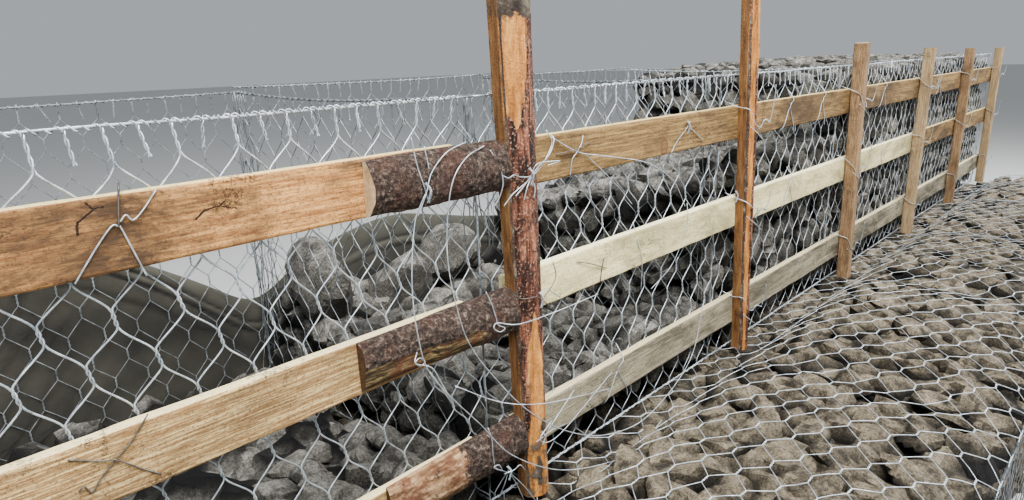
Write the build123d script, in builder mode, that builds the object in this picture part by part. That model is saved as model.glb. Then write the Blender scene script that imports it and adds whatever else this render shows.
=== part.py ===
from build123d import *
import os
from math import atan, cos, sqrt

# A stepped gabion wall while its upper course is being filled. Six wire mesh baskets stand on
# a lower course that is already filled and lidded. A timber frame of posts and boards, tied on
# in front, keeps the faces flat. X runs along the wall, Y into the bank, Z up; millimetres.
# The origin is under the middle of the lower course.

# Driving dimensions of the two courses
basket_count = 6
basket_length = 1000.0
base_depth = 2000.0
base_height = 500.0
basket_depth = 1000.0
basket_height = 890.0
step_width = 830.0

# Wire: the edge wire of each panel, the bundle where two baskets are laced together
mesh_wire = 2.7
edge_wire = 4.0
seam_bundle = 6.0
seam_wire = 5.0

# Double-twisted hexagonal mesh: distance between twists, row height, length of one twist
mesh_opening = 82.0
mesh_row = 63.0
twist_length = 30.0
twist_width = 5.4

# Stone fill: how far it stands above or below the basket's rim
rim_freeboard = 15.0
full_crown = 55.0
step_crown = 85.0
post_strip = 110.0

# Broken rock packs in lumps: about how far apart they are, and the hollows between them
lump_pitch = 300.0
lump_hollow = 45.0

# Heaps in the three baskets that are still being filled, and the least stone on their floor
low_heap_left = 70.0
low_heap_right = 195.0
half_heap_front = 290.0
half_heap_back = 340.0
half_heap_dip = 100.0
high_heap_front = 730.0
high_heap_back = 400.0
high_heap_dip = 60.0
floor_stone = 25.0

# Boards and posts
board_thickness = 25.0
board_width = 100.0
post_size = 50.0
board_levels = {"top": 752.0, "middle": 475.0, "bottom": 145.0}
old_board_shift = {"top": 7.0, "middle": -23.0, "bottom": 0.0}
board_joint = 2.0

# Posts, left to right: how far the foot stands past its seam, its lean, its height. The second
# is a thick log that the slabs butt against, the third a split log; the short boards start at
# the fifth
log_post_index = 1
split_post_index = 2
joint_post_index = 4
post_offsets = (60.0, 100.0, 136.0, 125.0, 92.0, 30.0, -40.0)
post_leans = (-20.0, -40.0, -74.0, -70.0, 10.0, 5.0, 0.0)
post_heights = (1150.0, 1250.0, 1190.0, 975.0, 947.0, 936.0, 930.0)
log_post_foot = 72.0
log_post_top = 96.0
split_post_width = 46.0
log_flat_side = 28.0
arris = 2.0

# Bark-covered slabs that splice the old boards to the first log post
slab_length = 345.0
slab_width = 98.0
slab_depth = 44.0
slab_levels = {"top": 758.0, "middle": 456.0, "bottom": 158.0}
old_board_gap = 105.0

# Geotextile sheet that hangs behind the baskets
sheet_length = 2350.0
sheet_left_height = 640.0
sheet_dip_height = 300.0
sheet_right_height = 470.0
sheet_thickness = 5.0
fold_pitch = 235.0
fold_depth = 26.0

# Clearance between pieces that lean against each other
touch = 0.3

wall_length = basket_count * basket_length
wall_left = -wall_length / 2
face_y = -base_depth / 2 + step_width
back_y = face_y + basket_depth
base_top = base_height
wall_top = base_height + basket_height
seams = [wall_left + i * basket_length for i in range(basket_count + 1)]
board_front_y = face_y - board_thickness

os.makedirs("parts", exist_ok=True)


def save(piece, label):
    """Label a finished piece and write it as its own STEP file."""
    piece.part.label = label
    export_step(piece.part, f"parts/{label}.step")


def bay(index):
    """Return the clear stretch of one basket along X, between its two laced seams."""
    return seams[index] + seam_bundle / 2, seams[index + 1] - seam_bundle / 2


# Along a fill, hollows and crests take turns. Each has its share of the way along and its depth
def lumps(length, shift=0):
    count = max(1, round(length / lump_pitch))
    return [(i / (2 * count), lump_hollow * ((i + shift + 1) % 2)) for i in range(2 * count + 1)]


# A low arch, 0 at both ends of a side and 1 in its middle
def arch(share):
    return sqrt(4 * share * (1 - share))


# Packed rock: strips side by side from front to back, each with its own line of lumps on top,
# every second strip half a lump further on
def rock_body(span_x, span_y, foot, lowest, surface):
    left, right = span_x
    front, back = span_y
    strip_count = max(1, round((back - front) / lump_pitch))
    strip = (back - front) / strip_count
    with BuildPart() as body:
        for i in range(strip_count):
            far = front + (i + 1) * strip
            outline = [(right, foot), (left, foot)]
            for share, hollow in lumps(right - left, i):
                x = left + share * (right - left)
                outline.append((x, max(lowest, surface(x, far - strip / 2) - hollow)))
            with BuildSketch(Plane.XZ.offset(-far)):
                Polygon(*outline, align=None)
            extrude(amount=strip)
    return body


# The same lumps seen from above: they stand out to the mesh in front and behind
def plan_outline(span_x, span_y):
    left, right = span_x
    front, back = span_y
    length = right - left
    front_line = [(left + share * length, front + hollow) for share, hollow in lumps(length)]
    back_line = [(left + share * length, back - hollow) for share, hollow in lumps(length, 1)]
    return front_line + back_line[::-1]


# Lower course: blocks of packed stone whose lids bulge over the step, dip at each seam and lie
# low where the posts and the upper course stand
def base_block(index):
    left, right = bay(index)
    front = -base_depth / 2 + seam_wire
    back = base_depth / 2 - seam_wire
    strip_y = face_y - post_strip

    def lid(x, y):
        across = arch((y - front) / (strip_y - front))
        return base_top + step_crown * arch((x - left) / (right - left)) * across

    step = rock_body((left, right), (front, strip_y), 0, base_top, lid)
    with BuildPart() as block:
        add(step.part)
        with BuildSketch(Plane.XY):
            Polygon((left, strip_y), (right, strip_y), (right, back), (left, back), align=None)
        extrude(amount=base_top)
        with BuildSketch(Plane.XY):
            Polygon(*plan_outline((left, right), (front, back)), align=None)
        extrude(amount=base_top + step_crown, mode=Mode.INTERSECT)
    return block


for index in range(basket_count):
    save(base_block(index), f"base_stone_{index + 1}")

# Edge wires of the lower course: a ring at each seam and four long wires at the corners
with BuildPart() as base_edges:
    for seam in seams:
        with BuildSketch(Plane.YZ.offset(seam - seam_bundle / 2)):
            with Locations((0, base_height / 2)):
                Rectangle(base_depth, base_height)
                Rectangle(base_depth - 2 * seam_wire, base_height - 2 * seam_wire, mode=Mode.SUBTRACT)
        extrude(amount=seam_bundle)
    with BuildSketch(Plane.YZ.offset(wall_left)):
        with Locations((0, base_height / 2)):
            with GridLocations(base_depth - seam_wire, base_height - seam_wire, 2, 2):
                Rectangle(seam_wire, seam_wire)
    extrude(amount=wall_length)
save(base_edges, "base_edge_wires")


# Upper course: the ends and partitions, each an upright rectangle of laced edge wires
def seam_frame(seam):
    with BuildPart() as frame:
        with BuildSketch(Plane.YZ.offset(seam - seam_bundle / 2)):
            with Locations((face_y + basket_depth / 2, base_top + basket_height / 2)):
                Rectangle(basket_depth, basket_height)
                Rectangle(
                    basket_depth - 2 * seam_wire, basket_height - 2 * seam_wire, mode=Mode.SUBTRACT
                )
        extrude(amount=seam_bundle)
    return frame


save(seam_frame(seams[0]), "left_end_frame")
save(seam_frame(seams[-1]), "right_end_frame")
for index in range(2, basket_count):
    save(seam_frame(seams[index]), f"partition_frame_{index}")


# The opening left inside one hexagonal cell of the mesh, between the wires around it
def cell_opening(pitch, row):
    half = pitch / 2
    rise = row - twist_length
    slope = rise / half
    peak = twist_length / 2 + rise - mesh_wire / 2 / cos(atan(slope))
    side = half - twist_width / 2
    shoulder = peak - side * slope
    return [(-side, -shoulder), (0, -peak), (side, -shoulder), (side, shoulder), (0, peak), (-side, shoulder)]


# A mesh panel on its edge wires: rows of hexagonal cells, each row shifted by half a cell. The
# mesh starts at the height of the rock that is packed against it
def mesh_panel(plane, start, end, rim, thickness, rock_height):
    width = end - start - 2 * rim
    height = basket_height - 2 * rim
    columns = round(width / mesh_opening)
    rows = round(height / mesh_row)
    pitch = width / columns
    row = height / rows
    first_row = int(rock_height / row)
    mesh_foot = base_top + rim + first_row * row
    mesh_top = wall_top - rim / 2
    cells = []
    for j in range(first_row, rows):
        z = base_top + rim + (j + 0.5) * row
        shift = 0 if j % 2 else pitch / 2
        for i in range(columns + (j + 1) % 2):
            cells.append((start + rim + (i + 0.5) * pitch - shift, z))
    with BuildPart() as panel:
        with BuildSketch(plane.offset((thickness - mesh_wire) / 2)):
            with Locations(((start + end) / 2, (mesh_foot + mesh_top) / 2)):
                Rectangle(width + rim, mesh_top - mesh_foot)
            with Locations(*cells):
                Polygon(*cell_opening(pitch, row), align=None, mode=Mode.SUBTRACT)
        extrude(amount=mesh_wire)
        with BuildSketch(plane):
            with Locations(((start + end) / 2, base_top + basket_height / 2)):
                Rectangle(end - start, basket_height)
                Rectangle(width, height, mode=Mode.SUBTRACT)
        extrude(amount=thickness)
    return panel


front_plane = Plane.XZ.offset(-face_y - edge_wire)
for index, rock_height in enumerate((low_heap_left, half_heap_front)):
    left, right = bay(index)
    panel = mesh_panel(front_plane, left, right, edge_wire, edge_wire, rock_height)
    save(panel, f"front_mesh_panel_{index + 1}")

partition_plane = Plane.YZ.offset(seams[1] - seam_bundle / 2)
save(
    mesh_panel(partition_plane, face_y, back_y, seam_wire, seam_bundle, low_heap_right),
    "partition_mesh_panel_1",
)


# Edge wires of the other front panels and of the back panels, one rectangle a basket
def edge_rectangles(first, outer_y):
    with BuildPart() as edges:
        with BuildSketch(Plane.XZ.offset(-outer_y - edge_wire)):
            for index in range(first, basket_count):
                left, right = bay(index)
                with Locations(((left + right) / 2, base_top + basket_height / 2)):
                    Rectangle(right - left, basket_height)
                    Rectangle(
                        right - left - 2 * edge_wire, basket_height - 2 * edge_wire, mode=Mode.SUBTRACT
                    )
        extrude(amount=edge_wire)
    return edges


save(edge_rectangles(2, face_y), "front_edge_wires")
save(edge_rectangles(0, back_y - edge_wire), "back_edge_wires")

# Stone in the upper course. Full baskets stand crowned above the rim, and their lumps also
# bulge and fall back up the front and the back
fill_front = face_y + edge_wire
fill_back = back_y - edge_wire


def side_outline(rim):
    height = rim - base_top
    ceiling = rim + full_crown
    front_line = [(fill_front + hollow, base_top + share * height) for share, hollow in lumps(height)]
    back_line = [(fill_back - hollow, base_top + share * height) for share, hollow in lumps(height, 1)]
    return [*front_line, (fill_front + lump_hollow, ceiling), (fill_back, ceiling), *back_line[::-1]]


def full_block(index):
    left, right = bay(index)
    rim = wall_top - rim_freeboard

    def crown(x, y):
        across = arch((y - fill_front) / (fill_back - fill_front))
        return rim + full_crown * arch((x - left) / (right - left)) * across

    body = rock_body((left, right), (fill_front, fill_back), base_top, rim, crown)
    with BuildPart() as block:
        add(body.part)
        with BuildSketch(Plane.XY.offset(base_top)):
            Polygon(*plan_outline((left, right), (fill_front, fill_back)), align=None)
        extrude(amount=basket_height + full_crown, mode=Mode.INTERSECT)
        with BuildSketch(Plane.YZ.offset(left)):
            Polygon(*side_outline(rim), align=None)
        extrude(amount=right - left, mode=Mode.INTERSECT)
    return block


for index in range(3, basket_count):
    save(full_block(index), f"stone_fill_{index + 1}")


# The first three baskets hold heaps: a low one that rises to the right, and two hollow ones of
# which one rises to the back and the other to the front
def heap(index, surface):
    left, right = bay(index)
    lowest = base_top + floor_stone
    return rock_body((left, right), (fill_front, fill_back), base_top, lowest, surface)


def low_surface(x, y):
    share = (x - seams[0]) / basket_length
    return base_top + low_heap_left + (low_heap_right - low_heap_left) * share ** 2


def hollow_surface(front_height, back_height, dip):
    def surface(x, y):
        share = (y - fill_front) / (fill_back - fill_front)
        straight = front_height + (back_height - front_height) * share
        return base_top + straight - dip * arch(share) ** 2

    return surface


save(heap(0, low_surface), "stone_fill_1")
half_surface = hollow_surface(half_heap_front, half_heap_back, half_heap_dip)
save(heap(1, half_surface), "stone_fill_2")
high_surface = hollow_surface(high_heap_front, high_heap_back, high_heap_dip)
save(heap(2, high_surface), "stone_fill_3")


# Posts: where the middle of each post stands at a given height above the lower course
def post_x(index, height):
    return seams[index] + post_offsets[index] + post_leans[index] * height / post_heights[index]


# The leaning outline of a post, seen from the front
def post_outline(index, foot_width, top_width):
    outline = []
    for height, width in ((0, foot_width), (post_heights[index], top_width)):
        x = post_x(index, height)
        outline.append((x - width / 2, base_top + height))
        outline.append((x + width / 2, base_top + height))
    return [outline[0], outline[1], outline[3], outline[2]]


# A log sawn on its back and sides, its rounded bark side out
def log_post(index, foot_width, top_width):
    outline = post_outline(index, foot_width, top_width)
    left = min(x for x, z in outline)
    right = max(x for x, z in outline)
    side_y = board_front_y - log_flat_side
    with BuildPart() as log:
        with BuildSketch(Plane.XZ.offset(-board_front_y)):
            Polygon(*outline, align=None)
        extrude(amount=post_size)
        with BuildSketch(Plane.XY.offset(base_top)):
            with BuildLine():
                Polyline((right, side_y), (right, board_front_y), (left, board_front_y), (left, side_y))
                ThreePointArc(
                    (left, side_y), ((left + right) / 2, board_front_y - post_size), (right, side_y)
                )
            make_face()
        extrude(amount=post_heights[index], mode=Mode.INTERSECT)
    return log


# A sawn post of square timber, leaning a little, with its front arrises taken off
def sawn_post(index):
    with BuildPart() as post:
        with BuildSketch(Plane.XZ.offset(-board_front_y)):
            Polygon(*post_outline(index, post_size, post_size), align=None)
        extrude(amount=post_size)
        front = post.faces().sort_by(Axis.Y)[0]
        chamfer(front.edges().sort_by(SortBy.LENGTH)[-2:], length=arris)
    return post


for index in range(basket_count + 1):
    if index == log_post_index:
        piece = log_post(index, log_post_foot, log_post_top)
    elif index == split_post_index:
        piece = log_post(index, split_post_width, split_post_width)
    else:
        piece = sawn_post(index)
    save(piece, f"post_{index + 1}")


# Boards: three rails, each of an old board, a long new board and a shorter one
def board(start, end, level):
    with BuildPart() as plank:
        with BuildSketch(Plane.XZ.offset(-face_y)):
            with Locations(((start + end) / 2, base_top + level)):
                Rectangle(end - start, board_width)
        extrude(amount=board_thickness)
        chamfer(plank.edges().filter_by(Axis.X).group_by(Axis.Y)[0], length=arris)
    return plank


for name, level in board_levels.items():
    old_end = post_x(log_post_index, level) - log_post_top / 2 - old_board_gap
    new_start = post_x(log_post_index, level) - log_post_foot / 2
    splice = post_x(joint_post_index, level)
    save(board(seams[0], old_end, level + old_board_shift[name]), f"{name}_board_1")
    save(board(new_start, splice - board_joint / 2, level), f"{name}_board_2")
    save(board(splice + board_joint / 2, seams[-1], level), f"{name}_board_3")


# Bark slabs: the outer cut of a log, flat against the boards, butted against the log post
def bark_slab(level):
    top_edge = level + slab_width / 2
    share = top_edge / post_heights[log_post_index]
    post_half = (log_post_foot + (log_post_top - log_post_foot) * share) / 2
    right = post_x(log_post_index, top_edge) - post_half - touch
    foot = (board_front_y, base_top + level - slab_width / 2)
    crest = (board_front_y - slab_depth, base_top + level)
    head = (board_front_y, base_top + level + slab_width / 2)
    with BuildPart() as slab:
        with BuildSketch(Plane.YZ.offset(right - slab_length)):
            with BuildLine():
                Line(foot, head)
                ThreePointArc(head, crest, foot)
            make_face()
        extrude(amount=slab_length)
    return slab


for name, level in slab_levels.items():
    save(bark_slab(level), f"{name}_bark_slab")

# Geotextile sheet: one strip of non-woven fabric in upright folds, standing on the back ledge.
# Its top edge droops where the first two baskets meet
with BuildPart() as sheet:
    near = back_y + touch
    fold_count = round(sheet_length / fold_pitch)
    fold = sheet_length / fold_count
    crests = [(seams[0] + i * fold, near + fold_depth * (i % 2)) for i in range(fold_count + 1)]
    with BuildSketch(Plane.XY.offset(base_top)):
        with BuildLine():
            front = Polyline(*crests)
            back = Polyline(*[(x, y + sheet_thickness) for x, y in crests])
            Line(front @ 0, back @ 0)
            Line(front @ 1, back @ 1)
        make_face()
    extrude(amount=sheet_left_height)
    sheet_end = seams[0] + sheet_length
    with BuildSketch(Plane.XZ.offset(-back_y)):
        with BuildLine():
            Polyline(
                (seams[0], base_top + sheet_left_height),
                (seams[0], base_top),
                (sheet_end, base_top),
                (sheet_end, base_top + sheet_dip_height),
                ((seams[1] + sheet_end) / 2, base_top + sheet_right_height),
                (seams[1], base_top + sheet_dip_height),
                ((seams[0] + seams[1]) / 2, base_top + sheet_left_height),
                close=True,
            )
        make_face()
    extrude(amount=-sheet_thickness - fold_depth - touch, mode=Mode.INTERSECT)
save(sheet, "geotextile_sheet")
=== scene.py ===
import math

import bpy
import numpy as np
from mathutils import Matrix, Vector


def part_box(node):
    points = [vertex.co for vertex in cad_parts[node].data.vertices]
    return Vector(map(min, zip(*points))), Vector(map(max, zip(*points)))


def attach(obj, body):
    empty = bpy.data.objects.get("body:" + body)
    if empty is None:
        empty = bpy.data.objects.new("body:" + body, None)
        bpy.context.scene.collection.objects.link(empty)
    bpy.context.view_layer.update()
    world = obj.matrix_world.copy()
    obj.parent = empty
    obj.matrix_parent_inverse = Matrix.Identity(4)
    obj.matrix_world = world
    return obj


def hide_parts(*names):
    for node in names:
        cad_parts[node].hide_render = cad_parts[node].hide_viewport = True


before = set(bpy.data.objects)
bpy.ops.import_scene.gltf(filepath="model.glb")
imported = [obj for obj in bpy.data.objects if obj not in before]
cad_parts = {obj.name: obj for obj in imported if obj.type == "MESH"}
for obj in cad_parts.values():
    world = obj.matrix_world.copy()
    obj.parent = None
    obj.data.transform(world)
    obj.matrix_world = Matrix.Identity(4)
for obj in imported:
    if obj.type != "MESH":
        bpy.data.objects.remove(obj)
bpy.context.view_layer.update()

# Standpoint: an eye 0.95 m above the lid of the lower course and just under a metre in front
# of the baskets, looking along the wall and a little down
eye = Vector((-2.905, -1.127, 1.453))
turn = math.radians(46.18)
look_down = math.radians(15.96)
lean = math.radians(-1.89)
focal_pixels = 679.1
picture_width = 1024
picture_height = 500
centre_row = 254.5

level = math.cos(look_down)
ahead = Vector((math.sin(turn) * level, math.cos(turn) * level, -math.sin(look_down)))
level_right = Vector((math.cos(turn), -math.sin(turn), 0))
level_up = level_right.cross(ahead)
right = math.cos(lean) * level_right + math.sin(lean) * level_up
up = math.cos(lean) * level_up - math.sin(lean) * level_right
camera = bpy.data.objects.new("camera", bpy.data.cameras.new("camera"))
bpy.context.scene.collection.objects.link(camera)
camera.matrix_world = Matrix.Translation(eye) @ Matrix((right, up, -ahead)).transposed().to_4x4()
camera.data.lens = focal_pixels * camera.data.sensor_width / picture_width
camera.data.shift_y = (centre_row - picture_height / 2) / picture_width
camera.data.clip_start = 0.02
bpy.context.scene.camera = camera

# Studio: a pale floor under the lower course, an even pale sky and two large soft lights above
# the step, one near and one far, as on an overcast day
floor_half = 60.0
floor_mesh = bpy.data.meshes.new("floor")
corners = [(x * floor_half, y * floor_half, 0) for x, y in ((-1, -1), (1, -1), (1, 1), (-1, 1))]
floor_mesh.from_pydata(corners, [], [(0, 1, 2, 3)])
floor = bpy.data.objects.new("floor", floor_mesh)
bpy.context.scene.collection.objects.link(floor)


def shade(red, green, blue):
    """Linear colour of a shade that is named by its 0 to 255 screen values."""
    screen = np.array((red, green, blue)) / 255
    return (*np.where(screen > 0.04045, ((screen + 0.055) / 1.055) ** 2.4, screen / 12.92), 1.0)


floor_paint = bpy.data.materials.new("floor_paint")
floor_paint.use_nodes = True
floor_paint.node_tree.nodes["Principled BSDF"].inputs["Base Color"].default_value = shade(205, 205, 202)
floor_paint.node_tree.nodes["Principled BSDF"].inputs["Roughness"].default_value = 0.9
floor_mesh.materials.append(floor_paint)

world = bpy.data.worlds.new("sky")
bpy.context.scene.world = world
world.use_nodes = True
world.node_tree.nodes["Background"].inputs["Color"].default_value = shade(214, 220, 226)
world.node_tree.nodes["Background"].inputs["Strength"].default_value = 0.54
bpy.context.scene.view_settings.look = "AgX - Medium High Contrast"


def soft_light(name, place, target, size, power):
    """A square area light at place, turned towards target."""
    lamp = bpy.data.lights.new(name, "AREA")
    lamp.size = size
    lamp.energy = power
    holder = bpy.data.objects.new(name, lamp)
    holder.location = place
    holder.rotation_euler = (Vector(target) - Vector(place)).to_track_quat("-Z", "Y").to_euler()
    bpy.context.scene.collection.objects.link(holder)


soft_light("overcast_light", place=(-3.2, -2.6, 5.6), target=(-1.2, 0.2, 0.8), size=2.8, power=660)
soft_light("far_light", place=(4.5, -2.6, 5.4), target=(2.0, 0.2, 0.9), size=4.0, power=520)

# Broken rock: dark basalt from the quarry, 60 to 200 mm, laid by hand against the wires with its
# flattest side out and thrown in behind. Every stone is cut by its own set of flat breaks
bays = 6
course_low, course_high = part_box("base_edge_wires")
basket_low, basket_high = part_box("partition_frame_2")
front_y = basket_low.y
back_y = basket_high.y
lid_z = course_high.z
rim_z = basket_high.z
seams = np.linspace(course_low.x, course_high.x, bays + 1)
bay_length = seams[1] - seams[0]
wall_foot_y = front_y - 0.11
lid_crown = 0.085
no_ceiling = 9
random = np.random.default_rng(12)


def triple(x, y, z):
    """Places, or values for the three axes, from three parts. A single number is spread out to
    the shape of the others."""
    return np.stack(np.broadcast_arrays(x, y, z), -1)


def lattice_value(spot, seed):
    """A random value between -1 and 1 for each whole-number place: its three numbers are mixed
    with large odd factors and shifted bits, and the last 16 bits are read as a share."""
    mixed = (spot[..., 0] * 73856093) ^ (spot[..., 1] * 19349663) ^ (spot[..., 2] * 83492791)
    mixed = ((mixed ^ (seed * 9176)) & 0xFFFFFFFF) * 1274126177
    mixed = ((mixed ^ (mixed >> 15)) & 0xFFFFFFFF) * 668265263
    return ((mixed ^ (mixed >> 13)) & 0xFFFF) / 32767.5 - 1


def relief(points, size, seed=0):
    """Smooth lumps between -1 and 1: a random value at each corner of a lattice of cells of this
    size, blended across the cell by 3t^2 - 2t^3 along each axis."""
    cell = np.asarray(points, float) / size
    low = np.floor(cell).astype(np.int64)
    part = cell - low
    part = part * part * (3 - 2 * part)
    total = np.zeros(cell.shape[:-1])
    for corner in np.ndindex(2, 2, 2):
        total += np.prod(np.where(corner, part, 1 - part), axis=-1) * lattice_value(low + corner, seed)
    return total


def cobbles(points, size, seed):
    """Packed blocks: how far inside its own block each point lies, from 0 in the crevice to 1,
    and a random value for the block. A block is the space nearest to one scattered centre."""
    home = np.floor(points / size).astype(np.int64)
    first = np.full(len(points), 9.0)
    second = np.full(len(points), 9.0)
    value = np.zeros(len(points))
    for step in np.ndindex(3, 3, 3):
        spot = home + step - 1
        centre = spot + 0.5 + 0.4 * np.stack([lattice_value(spot, seed + a) for a in range(3)], -1)
        away = np.linalg.norm(points / size - centre, axis=1)
        second = np.minimum(second, np.maximum(away, first))
        value = np.where(away < first, lattice_value(spot, seed + 5), value)
        first = np.minimum(first, away)
    inside = np.clip((second - first) / 0.4, 0, 1)
    return inside * (2 - inside), value


def put_together(name, points, faces, materials, slot, nodes, smooth=False, **attributes):
    """One mesh object from points and arrays of faces, each array with its own number of corners
    a face and its own material, and with values kept on the points under their names."""
    mesh = bpy.data.meshes.new(name)
    faces = [np.asarray(f) for f in faces]
    mesh.vertices.add(len(points))
    mesh.vertices.foreach_set("co", np.ascontiguousarray(points, np.float32).ravel())
    mesh.loops.add(sum(f.size for f in faces))
    mesh.loops.foreach_set("vertex_index", np.concatenate([f.ravel() for f in faces]).astype(np.int32))
    mesh.polygons.add(sum(len(f) for f in faces))
    sizes = np.concatenate([np.full(len(f), f.shape[1]) for f in faces])
    mesh.polygons.foreach_set("loop_start", (np.cumsum(sizes) - sizes).astype(np.int32))
    slots = np.concatenate([np.full(len(f), min(i, len(materials) - 1)) for i, f in enumerate(faces)])
    mesh.polygons.foreach_set("material_index", slots.astype(np.int32))
    mesh.polygons.foreach_set("use_smooth", np.full(len(slots), smooth))
    for key, values in attributes.items():
        layer = mesh.attributes.new(key, "FLOAT", "POINT")
        layer.data.foreach_set("value", np.asarray(values, np.float32).ravel())
    mesh.update(calc_edges=True)
    for material in materials:
        mesh.materials.append(material)
    piece = bpy.data.objects.new(name, mesh)
    bpy.context.scene.collection.objects.link(piece)
    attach(piece, "root")
    if nodes:
        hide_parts(*nodes)
    return piece


def grid_squares(rows, columns, closed=False):
    """Squares of a grid of points that are numbered row after row: each joins a point to the one
    a row on, the one beside that and the one beside itself. In a closed grid the last column is
    joined to the first."""
    k, j = np.meshgrid(np.arange(rows - 1), np.arange(columns - (not closed)), indexing="ij")
    beside = (j + 1) % columns
    corners = (k * columns + j, (k + 1) * columns + j, (k + 1) * columns + beside, k * columns + beside)
    return np.stack(corners, -1).reshape(-1, 4)


def swept_faces(steps, count):
    """Faces of a ring of points carried along in steps: its squares, and one flat face over the
    first ring and one over the last."""
    ring = np.arange(count)[None]
    return [grid_squares(steps, count, True)[:, (0, 3, 2, 1)], ring[:, ::-1], ring + (steps - 1) * count]


def ball_grid(cells):
    """Directions over a ball and its faces: the six sides of a cube as grids of squares, with
    even angles, pulled onto the ball and merged along the cube's edges."""
    line = np.tan(np.linspace(-1, 1, cells + 1) * math.pi / 4)
    u, v = np.meshgrid(line, line, indexing="ij")
    sides = [(1, u, v), (-1, v, u), (v, 1, u), (u, -1, v), (u, v, 1), (v, u, -1)]
    points = np.concatenate([triple(*side).reshape(-1, 3) for side in sides])
    faces = grid_squares(cells + 1, cells + 1) + np.arange(6)[:, None, None] * u.size
    merged, index = np.unique(np.round(points, 6), axis=0, return_inverse=True)
    return merged, index.reshape(-1)[faces.reshape(-1, 4)]


def turned(vectors, degrees):
    """Random turns, one for each vector's group: a quaternion with small random parts made into
    a rotation matrix."""
    parts = random.normal(0, math.radians(degrees) / 2, (len(vectors), 3))
    whole = np.concatenate([np.ones((len(vectors), 1)), parts], 1)
    w, x, y, z = (whole / np.linalg.norm(whole, axis=1)[:, None]).T
    rows = [
        (1 - 2 * (y * y + z * z), 2 * (x * y - z * w), 2 * (x * z + y * w)),
        (2 * (x * y + z * w), 1 - 2 * (x * x + z * z), 2 * (y * z - x * w)),
        (2 * (x * z - y * w), 2 * (y * z + x * w), 1 - 2 * (x * x + y * y)),
    ]
    matrix = np.array(rows).transpose(2, 0, 1)
    return np.einsum("nij,npj->npi", matrix, vectors)


def broken_stones(count, cells, axis, tilt):
    """Stones about one unit across: a ball's points pulled in to the nearest of several random
    flat cuts, flattened along one axis, turned about it at random and tilted a little."""
    cube, faces = ball_grid(cells)
    ball = cube / np.linalg.norm(cube, axis=1)[:, None]
    cuts = random.normal(size=(count, 9, 3))
    cuts /= np.linalg.norm(cuts, axis=2)[:, :, None]
    depth = random.uniform(0.25, 0.46, (count, 9))
    facing = np.einsum("pk,nck->npc", ball, cuts)
    reach = np.where(facing > 0.1, depth[:, None, :] / np.maximum(facing, 0.1), 9).min(2)
    stones = np.minimum(reach, 0.6)[:, :, None] * ball
    rough = relief(stones + np.arange(count)[:, None, None] * 3.7, 0.21, 5)
    stones *= 1 + 0.06 * rough[:, :, None]
    flatness = [np.ones(count), random.uniform(0.72, 1, count), random.uniform(0.5, 0.85, count)]
    stones *= np.stack(flatness, 1)[:, None]
    spin = random.uniform(0, 2 * math.pi, count)[:, None]
    x = stones[..., 0] * np.cos(spin) - stones[..., 1] * np.sin(spin)
    y = stones[..., 0] * np.sin(spin) + stones[..., 1] * np.cos(spin)
    stones = turned(triple(x, y, stones[..., 2]), tilt)
    return np.roll(stones, axis + 1, axis=2), faces


def laid_stones(
    axis, side, level, spans, spacing, cells, hold, tilt=14, gap=(0.003, 0.02), swell=1.28, fall=2.1
):
    """A layer of stones in staggered, uneven rows over a rectangle across one axis, each slid
    along the axis until its outermost point lies a small gap behind the level given. The last
    value, 1 outside, falls towards 0 with the depth in the layer: painted shade, with some dirt,
    that darkens the stones' colour there."""
    across = [a for a in range(3) if a != axis]
    (u0, u1), (v0, v1) = spans
    rows = max(1, round((v1 - v0) / (spacing * 0.84)))
    columns = max(1, round((u1 - u0) / spacing))
    v, u = np.meshgrid(np.arange(rows) + 0.5, np.arange(columns) + 0.5, indexing="ij")
    u = (u + 0.25 * (-1) ** v.astype(int) + random.uniform(-0.24, 0.24, u.shape)) / columns
    v = (v + random.uniform(-0.22, 0.22, v.shape)) / rows
    u = u0 + (u1 - u0) * np.clip(u.ravel(), 0, 1)
    v = v0 + (v1 - v0) * np.clip(v.ravel(), 0, 1)
    stones, faces = broken_stones(len(u), cells, axis, tilt)
    size = spacing * swell * random.uniform(0.72, 1.28, len(u)) ** 0.8
    stones *= size[:, None, None]
    stones[..., across[0]] += u[:, None]
    stones[..., across[1]] += v[:, None]
    aim = level(u, v) if callable(level) else np.full(len(u), level)
    outer = stones[..., axis].max(1) if side > 0 else stones[..., axis].min(1)
    inset = random.uniform(*gap, len(u))
    depth = side * (outer[:, None] - stones[..., axis]) / size[:, None]
    stones[..., axis] += (aim - side * inset - outer)[:, None]
    for a, (low, high) in enumerate(hold):
        stones[..., a] += np.maximum(0, low - stones[..., a].min(1))[:, None]
        stones[..., a] -= np.maximum(0, stones[..., a].max(1) - high)[:, None]
    # Third value: painted shade, with some dirt, that darkens each stone the deeper it lies in the layer
    return stones, faces, np.clip(1.12 - fall * depth, 0.06, 1)


def box_grid(counts):
    """The skin of a box from 0 to 1 as grids of squares, merged along its edges, and the way out
    at each point."""
    points, faces, total = [], [], 0
    for axis in range(3):
        one, two = (axis + 1) % 3, (axis + 2) % 3
        u, v = np.meshgrid(np.arange(counts[one] + 1), np.arange(counts[two] + 1), indexing="ij")
        squares = grid_squares(*u.shape)
        for end in (0, 1):
            side = np.full((u.size, 3), float(end))
            side[:, one] = u.ravel() / counts[one]
            side[:, two] = v.ravel() / counts[two]
            points.append(side)
            faces.append((squares if end else squares[:, ::-1]) + total)
            total += len(side)
    merged, index = np.unique(np.round(np.concatenate(points), 6), axis=0, return_inverse=True)
    out = (merged > 0.999999).astype(float) - (merged < 0.000001)
    out /= np.linalg.norm(out, axis=1)[:, None]
    return merged, out, index.reshape(-1)[np.concatenate(faces)]


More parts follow.
